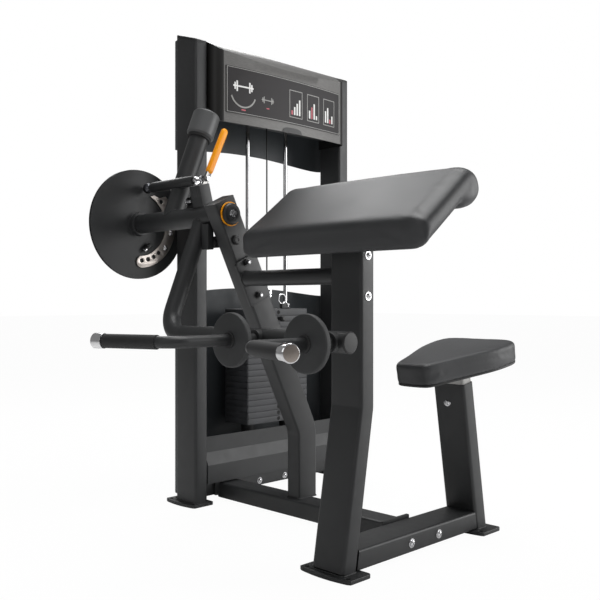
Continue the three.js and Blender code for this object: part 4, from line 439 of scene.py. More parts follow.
def moulded(name, dark, light, roughness=0.5, grain=700.0, depth=0.2, specular=0.5):
    """Moulded plastic or rubber: two near tones and a fine spark-eroded grain."""
    plastic = Finish(name, roughness=roughness, specular=specular)
    patches = plastic.noise(9.0, 4.0)
    plastic.feed("Base Color", plastic.mix(patches.step(0.35, 0.65), linear(dark), linear(light)))
    fine = plastic.noise(grain, 2.0)
    plastic.feed("Roughness", patches * 0.12 + (roughness - 0.06))
    plastic.feed("Normal", plastic.bump(fine, depth, 0.0003))
    return plastic.material


def leatherette():
    """Grained leatherette: pebbled cells and a slow change of tone and roughness."""
    skin = Finish("leatherette", roughness=0.52, specular=0.65)
    cells = skin.node("ShaderNodeTexVoronoi", {"feature": "SMOOTH_F1"}, {
        "Vector": skin.place, "Scale": 620.0, "Smoothness": 0.6}, "Distance")
    slow = skin.noise(7.0, 4.0)
    tone = skin.mix(slow.step(0.3, 0.7), linear("292a2c"), linear("313234"))
    skin.feed("Base Color", skin.mix(cells.step(0.05, 0.7) * 0.35, tone, linear("232426")))
    skin.feed("Roughness", slow * 0.14 + 0.44)
    skin.feed("Normal", skin.bump(cells, 0.3, 0.0004))
    return skin.material


def hood_plastic():
    """Hood: mid grey with a fine drawn texture, and black end cheeks beyond the sign's ends."""
    hood = Finish("hood_plastic", roughness=0.42, metallic=0.25)
    lines = hood.noise(60.0, 3.0, (1.0, 1.0, 26.0))
    tone = hood.mix(lines.step(0.3, 0.7), linear("555453"), linear("666563"))
    middle = (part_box("header_shroud")[0].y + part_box("header_shroud")[1].y) / 2
    away = (hood.axis("Y") - middle).math("ABSOLUTE")
    hood.feed("Base Color", hood.mix(away.step(0.2715, 0.2725), tone, linear("161514")))
    hood.feed("Roughness", lines * 0.14 + 0.36)
    hood.feed("Normal", hood.bump(lines, 0.12, 0.0003))
    return hood.material


def cast_plate():
    """Painted cast plate: dark grey with a sandy skin."""
    iron = Finish("stack_plate", roughness=0.55)
    sand = iron.noise(380.0, 4.0)
    patches = iron.noise(12.0, 4.0)
    iron.feed("Base Color", iron.mix(patches.step(0.3, 0.7), linear("303133"), linear("3b3c3f")))
    iron.feed("Roughness", patches * 0.14 + 0.46)
    iron.feed("Normal", iron.bump(sand, 0.35, 0.0003))
    return iron.material


def braided_sheath():
    """Black cable sheath with a faint lay of the wires under it."""
    sheath = Finish("cable_sheath", roughness=0.38)
    wave = sheath.node("ShaderNodeTexWave", {"bands_direction": "DIAGONAL"}, {
        "Vector": sheath.place, "Scale": 180.0, "Distortion": 0.0})
    sheath.feed("Base Color", sheath.mix(wave, linear("121212"), linear("1d1d1d")))
    sheath.feed("Normal", sheath.bump(wave, 0.1, 0.0002))
    return sheath.material


FRAME_PAINT = powder_coat("frame_paint", "232425", "28292a")
SHIELD_PAINT = powder_coat("shield_paint", "303437", "373b3e", 0.5)
WEIGHT_PAINT = powder_coat("counterweight_paint", "484949", "535455", 0.42)
HOOD = hood_plastic()
BLACK = moulded("black_plastic", "141415", "1b1b1c", 0.45)
RUBBER = moulded("rubber", "1d1d1e", "252526", 0.7, 500.0, 0.3)
FOAM = moulded("foam_disc", "2c2d2e", "363738", 0.62, 420.0, 0.35)
AMBER = moulded("amber_grip", "ff9c08", "ffaa14", 0.34, 380.0, 0.35, 0.3)
SIGN = moulded("sign_sheet", "2b292a", "312f30", 0.44, 900.0, 0.1, 0.2)
SIGN_WHITE = moulded("sign_white", "dcdcda", "e6e6e4", 0.4, 900.0, 0.1)
SIGN_GREY = moulded("sign_grey", "8b8b88", "949491", 0.4, 900.0, 0.1)
SIGN_RED = moulded("sign_red", "b04a55", "bd5560", 0.4, 900.0, 0.1)
# Near black for the selector holes' discs: painted shade for the depth of holes that are not cut.
HOLE_SHADE_PAINT = moulded("painted_hole_shade", "050505", "080808", 0.8)
CHROME = chrome()
STEEL = brushed_metal("steel", "8f8e8c")
DARK_STEEL = brushed_metal("dark_steel", "55565a", 0.28)
END_STEEL = brushed_metal("grip_cap_steel", "a39a93", 0.34, (24.0, 1.0, 1.0))
INDEX_STEEL = brushed_metal("index_plate_steel", "c9c1bb", 0.36, (1.0, 24.0, 1.0))
LEATHERETTE = leatherette()
PLATE_IRON = cast_plate()
SHEATH = braided_sheath()

SLOTS = {
    **{name: name for name in (
        "frame_paint", "counterweight_paint", "hood_plastic", "black_plastic", "rubber", "chrome", "steel",
        "leatherette", "cable_sheath")},
    **dict.fromkeys(("sign_sheet", "sign_white", "sign_grey", "sign_red"), "placard_print"),
    **dict.fromkeys(("dark_steel", "grip_cap_steel", "index_plate_steel"), "steel"),
    "shield_paint": "shield_sheet", "foam_disc": "rubber", "amber_grip": "amber_plastic",
    "painted_hole_shade": "black_plastic", "stack_plate": "plate_iron",
}


def fit(piece, body, material, *nodes):
    """Gives a piece its material and body, and hides the CAD nodes that it stands for."""
    piece.data.materials.clear()
    piece.data.materials.append(material)
    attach(piece, body)
    if nodes:
        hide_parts(*nodes)
    return piece


# Fasteners

def button_bolt(name, place, direction, body, radius, washer):
    """A dome-headed bolt with a socket, on a washer: a profile turned round the bolt's own axis."""
    height = radius * 0.62
    base = 1.6
    dome = [(radius * math.cos(t), base + height * math.sin(t)) for t in np.linspace(0.12, 1.15, 7)]
    socket = radius * 0.36
    profile = [
        (0, -0.4), (washer, -0.4), (washer, base - 0.4), (washer - 0.4, base), (radius, base), *dome,
        (socket, dome[-1][1]), (socket * 0.96, dome[-1][1] - height * 0.5), (0, dome[-1][1] - height * 0.55),
    ]
    return fit(turned(name, profile, place, direction, 32), body, CHROME)


def hex_bolt(name, place, direction, body, radius, length, washer, material=CHROME):
    """A six-sided head on a washer, its top corners chamfered."""
    along = unit(direction)
    side = unit(np.cross(along, Z if abs(along[2]) < 0.9 else X))
    hexagon = circle(radius, 6)
    sides = np.roll(hexagon, -1, 0) - hexagon
    corners = (hexagon[:, None] + sides[:, None] * np.array([[0.06], [0.5], [0.94]])).reshape(-1, 2)
    inner = corners * np.minimum(1, radius * 0.9 / np.linalg.norm(corners, axis=1))[:, None]
    path = [np.asarray(place) + along * t for t in (1.4, 1.4 + length * 0.82, 1.4 + length)]
    rings = rings_along(corners, path, side)
    rings[-1] = rings_along(inner, path, side)[-1]
    head = loft(name + "_head", rings, crease=25)
    rim = [(0, -0.3), (washer, -0.3), (washer, 1.1), (washer - 0.3, 1.4), (0, 1.4)]
    disc = turned(name + "_washer", rim, place, direction, 32)
    return fit(joined(name, [head, disc]), body, material)


def even_steps(line, count):
    """A closed line resampled at even steps of its length."""
    loop = np.vstack([line, line[:1]])
    run = np.concatenate([[0], np.cumsum(np.linalg.norm(np.diff(loop, axis=0), axis=1))])
    places = np.linspace(0, run[-1], count, endpoint=False)
    return np.stack([np.interp(places, run, axis) for axis in loop.T], -1)


def bead(name, path, body, radius):
    """A weld bead: a round section along a closed path, its radius rippling as sin of the distance run."""
    length = np.linalg.norm(np.roll(path, -1, 0) - path, axis=1).sum()
    count = max(24, int(length / 2.6))
    points = even_steps(path, count)
    tangent = np.roll(points, -1, 0) - np.roll(points, 1, 0)
    tangent /= np.linalg.norm(tangent, axis=1)[:, None]
    centre = points.mean(0)
    out = points - centre
    out -= (out * tangent).sum(1)[:, None] * tangent
    out /= np.linalg.norm(out, axis=1)[:, None]
    third = np.cross(tangent, out)
    ring = circle(1, 8)
    swell = radius * (1 + 0.16 * np.sin(np.arange(count) * 2.1))
    around = ring[None, :, :1] * out[:, None] + ring[None, :, 1:] * third[:, None]
    grid = points[:, None] + swell[:, None, None] * around
    grid = np.concatenate([grid, grid[:1]])
    return fit(build(name, grid.reshape(-1, 3), quads(len(grid), 8, True), 80), body, FRAME_PAINT)


def foot_weld(name, outline, height):
    """A bead round a post's flat outline at a height."""
    bead(name, np.column_stack([outline, np.full(len(outline), height)]), "frame", 2.0)


# Tower: uprights, feet, caps, floor tube and cover

TOWER_X = -772.0
TOWER_FRONT, TOWER_BACK = TOWER_X + 50, TOWER_X - 50
POST_TUBE = (100.0, 50.0, 9.0)
TOWER_MIDDLE = 490.5
UPRIGHT_YS = {"front": 159.0, "rear": 822.0}
TOWER_TOP = 1476.5
INNER_Y = (184.3, 796.7)
FLOOR_TOP = 65.4
ROOF_NORMAL = unit([0.33, 0.0, 1.0])
CAP_HEIGHT, CAP_RIM = 9.0, 3.5


def roof_point(y, drop):
    """A point on an upright's axis, some way below the middle of its sloping top."""
    return np.array([TOWER_X, y, TOWER_TOP - drop])


def foot(name, centre, size):
    """A foot plate with a bolt hole at each end of its open side; that side is bowed by 9."""
    half_width, half_length = size[0] / 2, size[1] / 2
    holes = [circle(6, 28) + [shift, 20 - half_length] for shift in (16 - half_width, half_width - 16)]
    near = np.linspace(-1, 1, 23) * (half_width - 8)
    bow = 9 * (near / half_width) ** 2 - half_length
    back = rounded(size[0], size[1], 10, 8)
    back = back[back[:, 1] > 0]
    back = back[np.argsort(np.arctan2(back[:, 1], back[:, 0]))]
    sides = np.array([[half_width, 12 - half_length], [-half_width, 12 - half_length]])
    outline = np.concatenate([np.column_stack([near, bow]), sides[:1], back, sides[1:]])
    return fit(plate(name, outline, holes, 10, [*centre, 0], X, Y, 1.4), "frame", FRAME_PAINT)


for place, y in UPRIGHT_YS.items():
    path = [[TOWER_X, y, 10], roof_point(y, CAP_HEIGHT + 0.3)]
    column = box_tube(f"upright_{place}_tube", *POST_TUBE, path, X, last=ROOF_NORMAL)
    fit(column, "frame", FRAME_PAINT, f"upright_{place}")
    foot(f"upright_{place}_foot", (TOWER_X - 15.5, y), (147, 88))
    foot_weld(f"upright_{place}_weld", rounded(*POST_TUBE) + [TOWER_X, y], 10.6)
    # Cap: the tube's outline at the sloping top, its rim rounded over a quarter circle
    levels = [(CAP_HEIGHT, 0.0)]
    for t in np.linspace(0, np.pi / 2, 6):
        levels.append((CAP_RIM * (1 - math.sin(t)), CAP_RIM * (1 - math.cos(t))))
    rims = []
    for drop, inset in levels:
        line = [[TOWER_X, y, TOWER_TOP - 80], roof_point(y, drop)]
        rims.append(rings_along(shrunk(*POST_TUBE, inset), line, X, last=ROOF_NORMAL)[1])
    fit(loft(f"upright_{place}_cap", np.array(rims)), "frame", BLACK, f"upright_cap_{place}")

floor_line = [[TOWER_X, y, 42.5] for y in INNER_Y]
fit(box_tube("tower_floor_tube", 50, 45, 7, floor_line, X), "frame", FRAME_PAINT, "tower_base_rail")


def folded_sheet(corners, thickness, radius):
    """A bent strip in a plane: the path with its bends rounded, and that path moved in by the thickness."""
    flat = np.asarray(corners, float)
    outer = bent(np.column_stack([flat, np.zeros(len(flat))]), radius, 6)[:, :2]
    tangent = np.gradient(outer, axis=0)
    tangent /= np.linalg.norm(tangent, axis=1)[:, None]
    inner = outer + thickness * np.stack([-tangent[:, 1], tangent[:, 0]], -1)
    return np.concatenate([outer, inner[::-1]])


cover_line = folded_sheet([(TOWER_FRONT, FLOOR_TOP), (TOWER_FRONT, 124), (-738, 162), (-738, 212)], 3, 6)
cover = [np.column_stack([cover_line[:, 0], np.full(len(cover_line), y), cover_line[:, 1]]) for y in INNER_Y]
fit(soften_edges(loft("lower_cover_sheet", np.array(cover)), 0.6), "frame", FRAME_PAINT, "lower_front_cover")

# Header: hood, sign and catch
HOOD_HALF = (INNER_Y[1] - INNER_Y[0]) / 2
HOOD_ROUND = 37.0
BOW_HALF = HOOD_HALF - HOOD_ROUND
HOOD_LOW = 1209.0
ROOF_CORNERS = ((-669.0, 1415.0), (-700.0, 1462.0), (TOWER_BACK, 1493.0))


def bow(y):
    """How far the hood's front stands at y: a parabola, and a quarter circle at each end."""
    away = np.abs(np.asarray(y, float) - TOWER_MIDDLE)
    middle = -685 + 16 * (1 - (away / BOW_HALF) ** 2)
    corner = TOWER_FRONT + np.sqrt(np.maximum(HOOD_ROUND ** 2 - np.maximum(away - BOW_HALF, 0) ** 2, 0))
    return np.where(away <= BOW_HALF, middle, corner)


def roof(t):
    """The roof's side line: a quadratic curve from the front's top edge to the uprights' top."""
    weights = np.stack([(1 - t) ** 2, 2 * t * (1 - t), t ** 2])
    return np.array(ROOF_CORNERS).T @ weights


def hood_shell():
    """The hood's outside: front wall and roof over a grid of y and height, and a flat wall at each end."""
    ends = TOWER_MIDDLE + BOW_HALF + HOOD_ROUND * np.sin(np.linspace(0, np.pi / 2, 10)[1:])
    middle = TOWER_MIDDLE + np.linspace(-BOW_HALF, BOW_HALF, 25)
    y = np.concatenate([2 * TOWER_MIDDLE - ends[::-1], middle, ends])
    front = bow(y)
    curve_x, curve_z = roof(np.linspace(0, 1, 60))
    walls = np.linspace(0, 1, 8)
    tops = np.linspace(0, 1, 22) ** 1.4
    edge_z = np.interp(-front, -curve_x, curve_z)
    height = HOOD_LOW + (edge_z[:, None] - HOOD_LOW) * walls
    wall = np.stack([np.repeat(front[:, None], 8, 1), np.repeat(y[:, None], 8, 1), height], -1)
    across = front[:, None] + (TOWER_BACK - front[:, None]) * tops[None, 1:]
    lid = np.stack([across, np.repeat(y[:, None], 21, 1), np.interp(-across, -curve_x, curve_z)], -1)
    grid = np.concatenate([wall, lid], 1)
    rows, columns = grid.shape[:2]
    points = grid.reshape(-1, 3)
    faces = [list(face) for face in quads(rows, columns, False)]
    for row in (0, rows - 1):
        points = np.concatenate([points, [[TOWER_BACK, grid[row, 0, 1], HOOD_LOW]]])
        faces.append([row * columns + i for i in range(columns)] + [len(points) - 1])
    shell = build("hood_shell", points, faces, 40)
    wall_tool = shell.modifiers.new("wall", "SOLIDIFY")
    wall_tool.thickness = 0.003
    wall_tool.offset = -1
    return soften_edges(shell, 1.2, 50)


fit(hood_shell(), "frame", HOOD, "header_shroud")


def on_hood(y, z, lift):
    """A point on the hood's front, lifted off it."""
    y = np.asarray(y, float)
    return np.stack([bow(y) + lift, y, np.asarray(z, float) + 0 * y], -1)


def sign_patch(name, y, z, lift, thickness, material, *nodes):
    """A thin patch that follows the hood's bow: a grid over y and z, closed by its own back and rims."""
    patch = sheet(name, on_hood(y, z, lift + thickness), on_hood(y, z, lift), 40)
    return fit(patch, "frame", material, *nodes)


def box_patch(name, y0, y1, z0, z1, material, lift=2.3, thickness=0.35, *nodes):
    """A rectangular patch between two y and two z."""
    count = max(2, int(abs(y1 - y0) / 12) + 1)
    y, z = np.meshgrid(np.linspace(y0, y1, count), [z0, z1], indexing="ij")
    return sign_patch(name, y, z, lift, thickness, material, *nodes)


def ring_patch(name, cy, cz, outer, inner, material, start=0.0, end=360.0, lift=2.3):
    """Part of a ring between two radii and two angles."""
    angle, radius = np.meshgrid(np.radians(np.linspace(start, end, 40)), [outer, inner], indexing="ij")
    return sign_patch(name, cy + radius * np.cos(angle), cz + radius * np.sin(angle), lift, 0.35, material)


def sign_lines(name, across, up, side_width, line_width):
    """A rectangle's four grey lines, drawn inside its rim."""
    (y0, y1), (z0, z1) = across, up
    low, high = z0 + line_width, z1 - line_width
    box_patch(name + "_top", y0, y1, high, z1, SIGN_GREY)
    box_patch(name + "_bottom", y0, y1, z0, low, SIGN_GREY)
    box_patch(name + "_left", y0, y0 + side_width, low, high, SIGN_GREY)
    box_patch(name + "_right", y1 - side_width, y1, low, high, SIGN_GREY)


box_patch("sign_sheet", 226, 755, 1240, 1388, SIGN, 0.3, 2.0, "placard")
sign_lines("sign_line", (228, 753), (1242, 1386), 2.2, 1.8)


def barbell(name, cy, cz, size, material):
    """A weight seen from the side: a bar with two plates on each end."""
    box_patch(name + "_bar", cy - size, cy + size, cz - size * 0.06, cz + size * 0.06, material)
    for side in (-1, 1):
        for order, (reach, height) in enumerate(((0.62, 0.42), (0.82, 0.28))):
            middle = cy + side * size * reach
            box_patch(f"{name}_disc_{side + 1}_{order}", middle - size * 0.07, middle + size * 0.07,
                      cz - size * height, cz + size * height, material)


barbell("sign_weight_left", 292, 1328, 40, SIGN_WHITE)
ring_patch("sign_turn", 292, 1312, 52, 47, SIGN_GREY, 200, 340)
box_patch("sign_mark_red", 284, 300, 1252, 1256, SIGN_RED)
barbell("sign_weight_small", 392, 1300, 26, SIGN_GREY)
box_patch("sign_mark_red_small", 386, 398, 1272, 1275, SIGN_RED)
for column in range(3):
    cy = 520 + column * 86
    sign_lines(f"sign_frame_{column}", (cy - 31, cy + 31), (1262, 1354.4), 2.4, 2.4)
    for bar in range(4):
        height = 14 + 13 * ((bar + column) % 4)
        box_patch(f"sign_bar_{column}_{bar}", cy - 22 + bar * 12, cy - 15 + bar * 12, 1272, 1272 + height,
                  SIGN_RED if bar == column else SIGN_WHITE)

catch_y = np.linspace(459, 549, 26)
catch_top = 1211 + 15 * np.sqrt(np.clip(1 - ((catch_y - 504) / 45) ** 4, 0, 1))
catch_grid = np.stack([np.stack([catch_y, catch_y], -1), np.stack([np.full(26, 1209.4), catch_top], -1)])
sign_patch("hood_catch", catch_grid[0], catch_grid[1], 0.2, 1.6, BLACK)

# Rear shields
SHIELD_X = TOWER_BACK - 0.3


def shield(name, low, high, node):
    """A sheet bowed behind the uprights on a superellipse of power 4, its edges arched as a cosine."""
    angle = np.linspace(0, np.pi, 73)
    reach, depth = 340.5, 66.0
    y = TOWER_MIDDLE - reach * np.sign(np.cos(angle)) * np.abs(np.cos(angle)) ** 0.5
    x = SHIELD_X - depth * np.sin(angle) ** 0.5
    arch = 26 * np.cos((y - TOWER_MIDDLE) / reach * np.pi / 2)
    bottom, top = low(arch), high(arch)
    share = np.linspace(0, 1, 9)
    z = bottom[:, None] + (top - bottom)[:, None] * share
    grid = np.stack([np.repeat(x[:, None], 9, 1), np.repeat(y[:, None], 9, 1), z], -1)
    inner = grid.copy()
    inner[:, :, 0] = SHIELD_X - (depth - 2) * np.repeat((np.sin(angle) ** 0.5)[:, None], 9, 1)
    inner[:, :, 1] = TOWER_MIDDLE + (grid[:, :, 1] - TOWER_MIDDLE) * (reach - 2) / reach
    return fit(sheet(name, grid, inner, 50), "frame", SHIELD_PAINT, node)


shield("rear_shield_upper_sheet", lambda arch: 1132 + arch, lambda arch: 1482 + 0 * arch, "rear_shield_upper")
shield("rear_shield_lower_sheet", lambda arch: 24 + 0 * arch, lambda arch: 662 + arch, "rear_shield_lower")

# Weight stack
STACK_X, STACK_BOTTOM, PITCH = -781.0, 233.0, 20.0
STACK_DEPTH, STACK_WIDTH = 118.0, 280.0
PLATES, LOWER_PLATES = 18, 13
STACK_TOP = STACK_BOTTOM + PLATES * PITCH
GUIDE_YS = {"front": 402.0, "rear": 579.0}


def stack_plate(name, bottom, thickness):
    """One plate of the stack, with its guide holes and its middle hole; the pin's hole in its front is not
    cut.
    """
    outline = rounded(STACK_DEPTH, STACK_WIDTH, 5)
    holes = [circle(9, 28) + [0, y - TOWER_MIDDLE] for y in GUIDE_YS.values()] + [circle(12, 32)]
    return plate(name, outline, holes, thickness, [STACK_X, TOWER_MIDDLE, bottom], X, Y, 1.3)


def pin_hole(name, z):
    """The countersunk rim of a selector hole in a plate's front, on a thin disc: no hole is cut, and the
    near-black colour it is given is painted shade for the hole's depth.
    """
    profile = [(0, 0.15), (4.2, 0.15), (4.8, 0.45), (6.4, 0.45), (6.9, 0.05), (6.9, -0.2), (0, -0.2)]
    return turned(name, profile, [STACK_X + STACK_DEPTH / 2, TOWER_MIDDLE, z], X, 24)


for number in range(2, 6):
    bottom = STACK_TOP - number * PITCH
    fit(stack_plate(f"stack_plate_{number}", bottom, 19.6), "frame", PLATE_IRON, f"weight_plate_{number}")
lower = [stack_plate(f"stack_lower_{i}", STACK_BOTTOM + i * PITCH, 19.6) for i in range(LOWER_PLATES)]
fit(joined("stack_plates_below", lower), "frame", PLATE_IRON, "weight_plates_lower")
# The selector holes are near-black discs on the plates' fronts: painted shade, not cut holes.
rims = [pin_hole(f"stack_hole_{i}", STACK_BOTTOM + (i + 0.5) * PITCH) for i in range(PLATES - 1)]
fit(joined("stack_pin_holes", rims), "frame", HOLE_SHADE_PAINT)
fit(stack_plate("stack_plate_1", STACK_TOP - PITCH + 0.3, 19.5), "stack", PLATE_IRON, "weight_plate_1")
fit(stack_plate("stack_head", STACK_TOP + 0.1, 22.8), "stack", PLATE_IRON, "head_plate")

for place, y in GUIDE_YS.items():
    rod = [(0, FLOOR_TOP), (7, FLOOR_TOP), (7, 1239.6), (0, 1239.6)]
    rod = turned(f"guide_{place}", rod, [STACK_X, y, 0], Z, 40)
    fit(rod, "frame", CHROME, f"guide_rod_{place}")
    cushion = soft_profile([
        (7.3, FLOOR_TOP), (13, FLOOR_TOP), (13, 203), (22, 203), (22, 232.6), (7.3, 232.6),
        (7.3, FLOOR_TOP)], 3)
    cushion = turned(f"cushion_{place}", cushion, [STACK_X, y, 0], Z, 40)
    fit(cushion, "frame", RUBBER, f"stack_cushion_{place}")

rod_profile = soft_profile([
    (0, 241), (11, 241), (11, 616.3), (17, 616.3), (17, 622.3), (7, 622.3), (7, 648.3), (10, 648.3),
    (10, 688.3), (0, 688.3),
], 1.2)
fit(turned("selector_stem", rod_profile, [STACK_X, TOWER_MIDDLE, 0], Z, 32), "stack", STEEL, "selector_rod")
for side in (-1, 1):
    ear = plate(f"cable_eye_{side + 1}", rounded(22, 40, 10, 10), [circle(4, 20) + [0, 6]], 3,
                [STACK_X + (10.2 if side > 0 else -13.2), TOWER_MIDDLE, 672], Y, Z, 0.6)
    fit(ear, "stack", CHROME)
hex_bolt("stack_lock_nut", [STACK_X, TOWER_MIDDLE, 622.6], Z, "stack", 12, 9, 14)
knob = soft_profile([
    (0, -781), (4.5, -781), (4.5, -721.7), (6.6, -721.7), (6.6, -712), (10, -707), (10, -697), (7, -692),
    (0, -691.8)], 1.6)
fit(turned("selector_knob", knob, [0, TOWER_MIDDLE, 583], X, 40), "selector", BLACK, "selector_pin")
# The head plate's selector hole is a disc of painted shade as well.
fit(pin_hole("head_plate_hole", 604.5), "stack", HOLE_SHADE_PAINT)
for place, y in GUIDE_YS.items():
    bush = soft_profile([
        (7.3, 616.2), (17, 616.2), (17, 620), (13, 622), (13, 636), (7.3, 636), (7.3, 616.2)], 1.2)
    fit(turned(f"head_bush_{place}", bush, [STACK_X, y, 0], Z, 40), "stack", BLACK)
clip = plate("ring_clip", rounded(36, 18, 4, 6), [], 12, [-751, 541, 625.2], Y, Z, 1.2)
fit(clip, "stack", BLACK)
ring_turn = np.linspace(0, 2 * np.pi, 61)
ring_path = np.column_stack([0 * ring_turn, np.cos(ring_turn), np.sin(ring_turn)]) * 16.6 + [-745, 529, 650]
ring_grid = rings_along(circle(2.4, 12), ring_path[:-1], X)
ring_grid = np.concatenate([ring_grid, ring_grid[:1]])
fit(build("stack_ring", ring_grid.reshape(-1, 3), quads(61, 12, True)), "stack", CHROME)
button_bolt("ring_clip_bolt", [-738.8, 552, 628], X, "stack", 4.5, 5.5)

# Cable and pulleys
PULLEY_Z, PULLEY_RADIUS = 1345.0, 45.0
CABLE_START = np.array([-836.0, 160.0, PIVOT_Z])
CABLE_END = np.array([STACK_X, TOWER_MIDDLE, PULLEY_Z])
HEADING = unit((CABLE_END - CABLE_START) * [1, 1, 0])
CABLE_SIDE = np.cross(HEADING, Z)
PULLEYS = {
    "front": CABLE_START * [1, 1, 0] + Z * PULLEY_Z + HEADING * PULLEY_RADIUS,
    "rear": CABLE_END - HEADING * PULLEY_RADIUS,
}


def pulley_arc(centre, start, end):
    angle = np.linspace(start, end, 19)[:, None]
    return centre + PULLEY_RADIUS * (np.cos(angle) * HEADING + np.sin(angle) * Z)


cable_path = np.concatenate([
    [CABLE_START], pulley_arc(PULLEYS["front"], np.pi, np.pi / 2), pulley_arc(PULLEYS["rear"], np.pi / 2, 0)])
fit(round_tube("cable_over_pulleys", 2.5, cable_path, CABLE_SIDE, facets=14), "frame", SHEATH, "cable_run")
CABLE_LOW, CABLE_HIGH = 688.6, 1344.7
drop_line = [[STACK_X, TOWER_MIDDLE, z] for z in (CABLE_LOW, CABLE_HIGH)]
drop = round_tube("cable_to_stack", 2.5, drop_line, X, facets=14)
fit(drop, "frame", SHEATH, "cable_stack_run")
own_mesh(drop)

wheel = soft_profile([
    (6.3, -8), (14, -8), (14, -4), (36, -4), (36, -8), (51, -8), (42.6, -3), (42.2, 0), (42.6, 3), (51, 8),
    (36, 8), (36, 4), (14, 4), (14, 8), (6.3, 8), (6.3, -8),
], 1.0, 3)
for place, centre in PULLEYS.items():
    pulley = turned(f"pulley_wheel_{place}", wheel, centre, CABLE_SIDE, 56)
    fit(pulley, f"{place}_pulley", BLACK, f"pulley_{place}")

# Floor tubes and the posts
MAIN_FOOT_Y = -15
MAIN_SLOPE = (50 - MAIN_FOOT_Y) / 380
SEAT_LEAN = math.radians(9.63)
SEAT_SLOPE = -math.tan(SEAT_LEAN)
SEAT_POST_Y = 541.4
RAIL_Z = 35.2
LINK_Y = 284.0
rail_ends = {"first": [0, 1, -MAIN_SLOPE], "last": [0, 1, -SEAT_SLOPE]}
rail_line = [[0, 15.3, RAIL_Z], [0, 511.2, RAIL_Z]]
seat_floor = box_tube("seat_floor_tube", 100, 49.7, 7, rail_line, X, **rail_ends)
fit(seat_floor, "frame", FRAME_PAINT, "seat_rail")
link = box_tube("tower_link_tube", 78, 49.7, 7, [[-746.7, LINK_Y, RAIL_Z], [-50.4, LINK_Y, RAIL_Z]], Y)
fit(link, "frame", FRAME_PAINT, "base_rail")
for name, x, height, z in (("link_end_plate", -58.3, 57.5, 39), ("link_tower_plate", -746.6, 44.5, 42.4)):
    fit(plate(name, rounded(112, height, 3), [], 8, [x, LINK_Y, z], Y, Z), "frame", FRAME_PAINT)

PAD_ANGLE = math.radians(37.4)
PAD_SLOPE = math.tan(PAD_ANGLE)
main_path = [[0, MAIN_FOOT_Y, 10], [0, 50, 390], [0, 50, POST_BOX[1].z * 1000 - 25 * PAD_SLOPE]]
main_column = box_tube("main_post_tube", *POST_TUBE, bent(main_path, 60, 8), X, last=[0, -PAD_SLOPE, 1])
fit(main_column, "frame", FRAME_PAINT, "main_post")
foot("main_post_foot", (0, MAIN_FOOT_Y), (162, 86))
seat_path = [[0, SEAT_POST_Y, 10], [0, SEAT_POST_Y + SEAT_SLOPE * 408, 418]]
seat_column = box_tube("seat_post_tube", *POST_TUBE, seat_path, X, first=[0, 0, 1])
fit(seat_column, "frame", FRAME_PAINT, "seat_post")
foot("seat_post_foot", (0, SEAT_POST_Y - 2), (162, 98))
for name, y in (("main_post_weld", MAIN_FOOT_Y), ("seat_post_weld", SEAT_POST_Y)):
    foot_weld(name, rounded(101, 52, 9) + [0, y], 10.4)

# Diagonal post with its lid, cross tube and plates
DIAGONAL_X, DIAGONAL_FOOT, DIAGONAL_KNEE = -422.0, 302.0, 262.0
POST_FACE = DIAGONAL_X + 25
LEAN = math.atan2(DIAGONAL_FOOT, PIVOT_Z - DIAGONAL_KNEE)
HEAD = np.array([DIAGONAL_X, -42 * math.sin(LEAN), PIVOT_Z + 42 * math.cos(LEAN)])
diagonal_corners = [[DIAGONAL_X, DIAGONAL_FOOT, 60.4], [DIAGONAL_X, DIAGONAL_FOOT, DIAGONAL_KNEE], HEAD]
diagonal_path = bent(diagonal_corners, 100, 20)
diagonal = box_tube("diagonal_tube", 50, 75, 6, diagonal_path, X)
fit(diagonal, "frame", FRAME_PAINT, "diagonal_post")
lean_across, lean_up = leaning(LEAN)
lid = plate("diagonal_lid", rounded(49.4, 74.4, 6), [], 4, HEAD - lean_up * 3.8, X, lean_across, 1.2)
fit(lid, "frame", FRAME_PAINT)
axle_face = turned("axle_boss", soft_profile([
    (0, DIAGONAL_X - 25.2), (22, DIAGONAL_X - 25.2), (22, DIAGONAL_X), (22, POST_FACE + 0.1),
    (0, POST_FACE + 0.2),
], 0.3), PIVOT, X, 40)
fit(axle_face, "frame", FRAME_PAINT)
knob_profile = soft_profile([(0, -0.2), (13, -0.2), (13, 5), (10.5, 8.6), (4.4, 9), (4, 7.6), (0, 7.4)], 1.4)
fit(turned("post_plug", knob_profile, [POST_FACE, 21.5, 810], X, 48), "frame", BLACK)
foot_weld("diagonal_weld", rounded(51, 76, 6) + [DIAGONAL_X, DIAGONAL_FOOT], 60.9)

CROSS_Z = 705.0
cross_y = (PIVOT_Z - CROSS_Z) * math.tan(LEAN)
plate_outline = rounded(80, 132, 8, 8) + [-8, 0]
plate_spot = [POST_FACE + 0.3, cross_y, CROSS_Z]
brace_plate = plate("cross_plate", plate_outline, [], 10, plate_spot, lean_across, lean_up, 1.4)
fit(brace_plate, "frame", FRAME_PAINT)
CROSS_BAR = np.array([0, 53, CROSS_Z])
brace = round_tube("cross_bar", 21, [CROSS_BAR + X * (POST_FACE + 9), CROSS_BAR - X * 50.4], Z, 3)
fit(brace, "frame", FRAME_PAINT, "cross_tube")
for name, x in (("cross_weld_plate", POST_FACE + 10.6), ("cross_weld_post", -51.2)):
    bead(name, CROSS_BAR + X * x + np.column_stack([np.zeros(40), circle(21.4, 40)]), "frame", 1.8)

